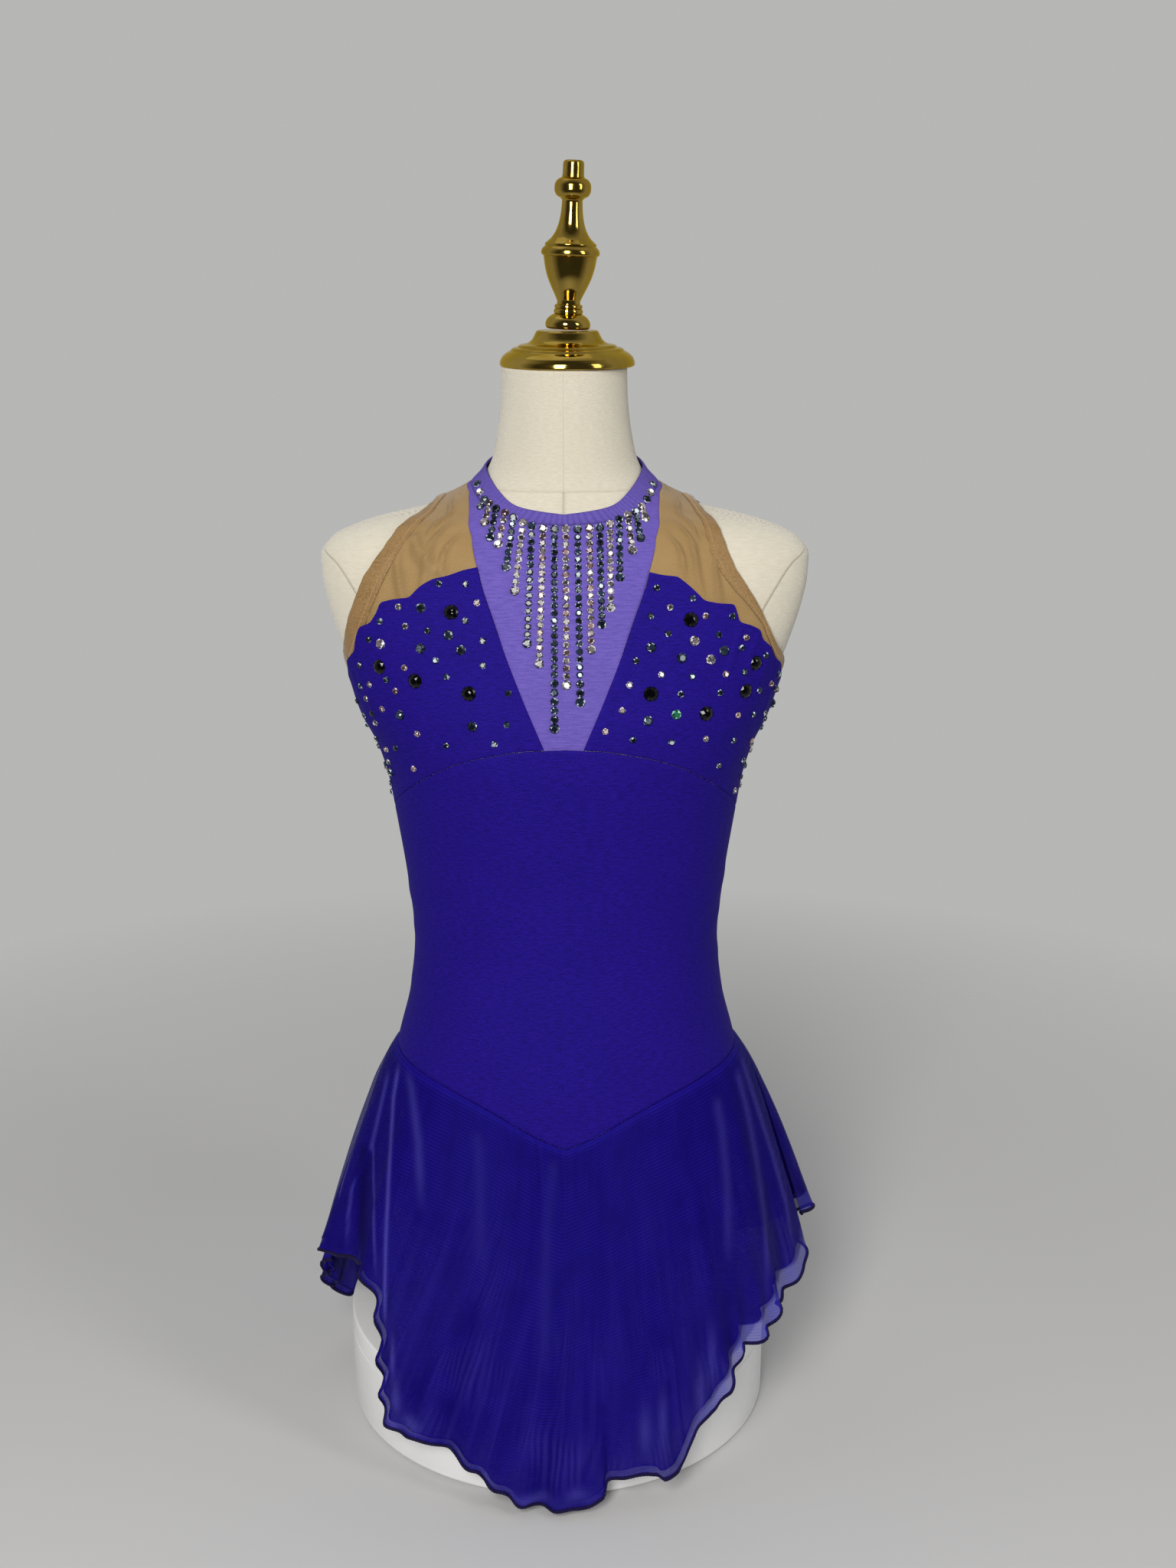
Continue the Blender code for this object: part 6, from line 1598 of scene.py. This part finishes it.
# Bust stones: small and middling crystals scattered over both bust pieces, thick at the scalloped
# top and thinner below, with a few strays on the body's sides.
# angle, height and kind: s small, m middling dark, a and g middling coloured, c middling clear
LEFT_STONES = ((-26, 615, "s"), (-19.4, 615, "s"), (-37.4, 600, "s"), (-30.7, 600, "m"), (-16.5, 604, "s"),
               (-19.3, 593, "s"), (-44.4, 590, "s"), (-35.9, 588, "s"), (-29.4, 586, "s"), (-23.7, 584, "m"),
               (-15.4, 581, "s"), (-50.4, 578, "s"), (-45.8, 576, "a"), (-32.1, 575, "m"), (-20.9, 575, "m"),
               (-28.3, 568, "s"), (-15.9, 566, "s"), (-90.6, 546, "s"), (-59.3, 560, "s"), (-39, 562, "s"),
               (-26.1, 558, "s"), (-47.6, 553, "s"), (-57.2, 548, "s"), (-64.3, 545, "s"), (-45.2, 546, "s"),
               (-10.6, 549, "s"), (-106.7, 520, "s"), (-62.9, 537, "s"), (-75.9, 531, "s"), (-55, 532, "s"),
               (-62.8, 527, "s"), (-46.5, 530, "m"), (-21.3, 527, "m"), (-11.8, 529, "s"), (-41.2, 519, "s"),
               (-31.3, 513, "s"), (-16, 516, "s"), (-92.1, 495, "g"), (-56.2, 505, "s"), (-49.3, 493, "s"),
               (-69.8, 483, "m"), (-73.5, 522, "s"), (-64, 520, "s"), (-80.5, 513, "s"), (-65, 501, "s"),
               (-74, 505, "s"), (-82, 496, "s"), (-68, 491, "s"), (-76, 486, "s"), (-84, 480, "s"),
               (-76.5, 472, "s"), (-81, 463.5, "s"))
RIGHT_STONES = ((18.1, 613, "s"), (26.8, 606, "s"), (21.1, 601, "s"), (16.6, 596, "s"), (30.6, 595, "s"),
                (38.7, 594, "s"), (20.9, 585, "s"), (28.1, 580, "c"), (35.1, 583, "s"), (44.8, 580, "s"),
                (17, 577, "m"), (43.8, 574, "s"), (37.7, 573, "m"), (33.9, 568, "c"), (25.2, 570, "m"),
                (13.7, 569, "s"), (55.6, 567, "s"), (20.5, 560, "s"), (29.3, 558, "s"), (40.2, 558, "s"),
                (47.6, 558, "s"), (70.3, 551, "s"), (12.8, 554, "s"), (58.2, 544, "s"), (65.8, 546, "s"),
                (27, 547, "s"), (40.2, 546, "s"), (11.7, 538, "s"), (26.9, 534, "g"), (51.2, 529, "s"),
                (60.4, 527, "s"), (70.1, 525, "s"), (81.3, 527, "m"), (18.8, 531, "m"), (8.3, 525, "s"),
                (15.7, 519, "s"), (27.4, 516, "s"), (39.7, 516, "s"), (54.2, 511, "s"), (71.2, 505, "s"),
                (50.4, 495, "s"), (81.8, 482, "s"), (70.7, 469, "s"), (72, 541, "s"), (80.5, 537, "s"),
                (75.5, 519, "s"), (80, 511, "s"), (74.5, 501, "s"), (70, 491, "s"), (80.5, 494, "s"),
                (75, 486.5, "s"), (76.5, 476.5, "s"), (82, 468, "s"))
body_faces = faces_of([busts[-1], busts[1], bpy.data.objects["front_body_cloth"],
                       bpy.data.objects["back_body_cloth"]])
for table in (LEFT_STONES, RIGHT_STONES):
    here, out = seated(body_faces, [row[:2] for row in table], -0.05)
    for i, (angle, height, kind) in enumerate(table):
        small = ("dark", "dark", "clear", "dark", "pink")[i % 5]
        sort = {"s": small, "m": "dark", "a": "clear", "g": "green", "c": "clear"}[kind]
        places[sort].append((here[i], out[i], 4.6 if kind == "s" else 6.8))
for kind, rows in places.items():
    seats, outs, sizes = zip(*rows)
    spread_out("crystals_" + kind, seats, outs, facings(len(rows), 2.4), np.outer(sizes, np.ones(3)),
               small_stone, crystal_finish[kind])


# Setting: a pale floor that fades into the pale surround, soft light from the upper left front with
# a weaker lamp on the right, and the camera where the photograph was taken from.
floor_finish, tree, shader = start_finish("pale_floor", (0.54, 0.54, 0.545), 0.8, Specular_IOR_Level=0.2)
from_centre = add(tree, "ShaderNodeVectorMath", {0: object_place(tree)}, operation="LENGTH").outputs["Value"]
tree.links.new(spread_range(tree, from_centre, 0.45, 1.15, 1.0, 0.0), shader.inputs["Alpha"])
floor_mesh = bpy.data.meshes.new("floor")
floor_rim = [(1.2 * math.cos(t), 1.2 * math.sin(t), 0.0) for t in full_turn(96)]
floor_mesh.from_pydata(floor_rim, [], [tuple(range(96))])
floor_mesh.materials.append(floor_finish)
floor = into_scene("floor", floor_mesh)

world = bpy.data.worlds.new("pale_surround")
bpy.context.scene.world = world
world.use_nodes = True
tree = world.node_tree
facing = add(tree, "ShaderNodeTexCoord")
parts = add(tree, "ShaderNodeSeparateXYZ", {"Vector": facing.outputs["Generated"]})
surround = mixed_colour(tree, spread_range(tree, parts.outputs["Y"], -0.55, 0.0), (0.06, 0.06, 0.06),
                        (0.47, 0.47, 0.465))
tree.links.new(surround, tree.nodes["Background"].inputs["Color"])


def soft_lamp(name, at, towards, size, power, colour):
    lamp = bpy.data.lights.new(name, "AREA")
    lamp.shape = "RECTANGLE"
    lamp.size, lamp.size_y = size
    lamp.energy = power
    lamp.color = colour
    holder = into_scene(name, lamp)
    holder.location = at
    holder.rotation_euler = (Vector(towards) - Vector(at)).to_track_quat("-Z", "Y").to_euler()
    return holder


lamps = [soft_lamp("key_lamp", (-0.42, -1.95, 1.35), (0.0, 0.0, 0.42), (0.60, 1.2), 47.0, (1.0, 0.98, 0.95)),
         soft_lamp("fill_lamp", (1.6, -1.2, 1.4), (0.0, 0.0, 0.45), (0.45, 1.2), 10.5, (1.0, 0.98, 0.96)),
         soft_lamp("top_lamp", (-0.2, 0.5, 2.3), (0.0, 0.0, 0.3), (1.4, 1.0), 1.5, (1.0, 1.0, 1.0))]
camera_data = bpy.data.cameras.new("camera")
camera_data.sensor_fit = "VERTICAL"
camera_data.sensor_width = 36.0
camera_data.sensor_height = 36.0
camera_data.lens = 45.70
camera = into_scene("camera", camera_data)
camera.location = (0.0217, -1.3253, 0.845)
camera.rotation_euler = (math.pi / 2.0 - 0.28, 0.0, 0.0)
bpy.context.scene.camera = camera
bpy.context.scene.view_settings.view_transform = "Standard"
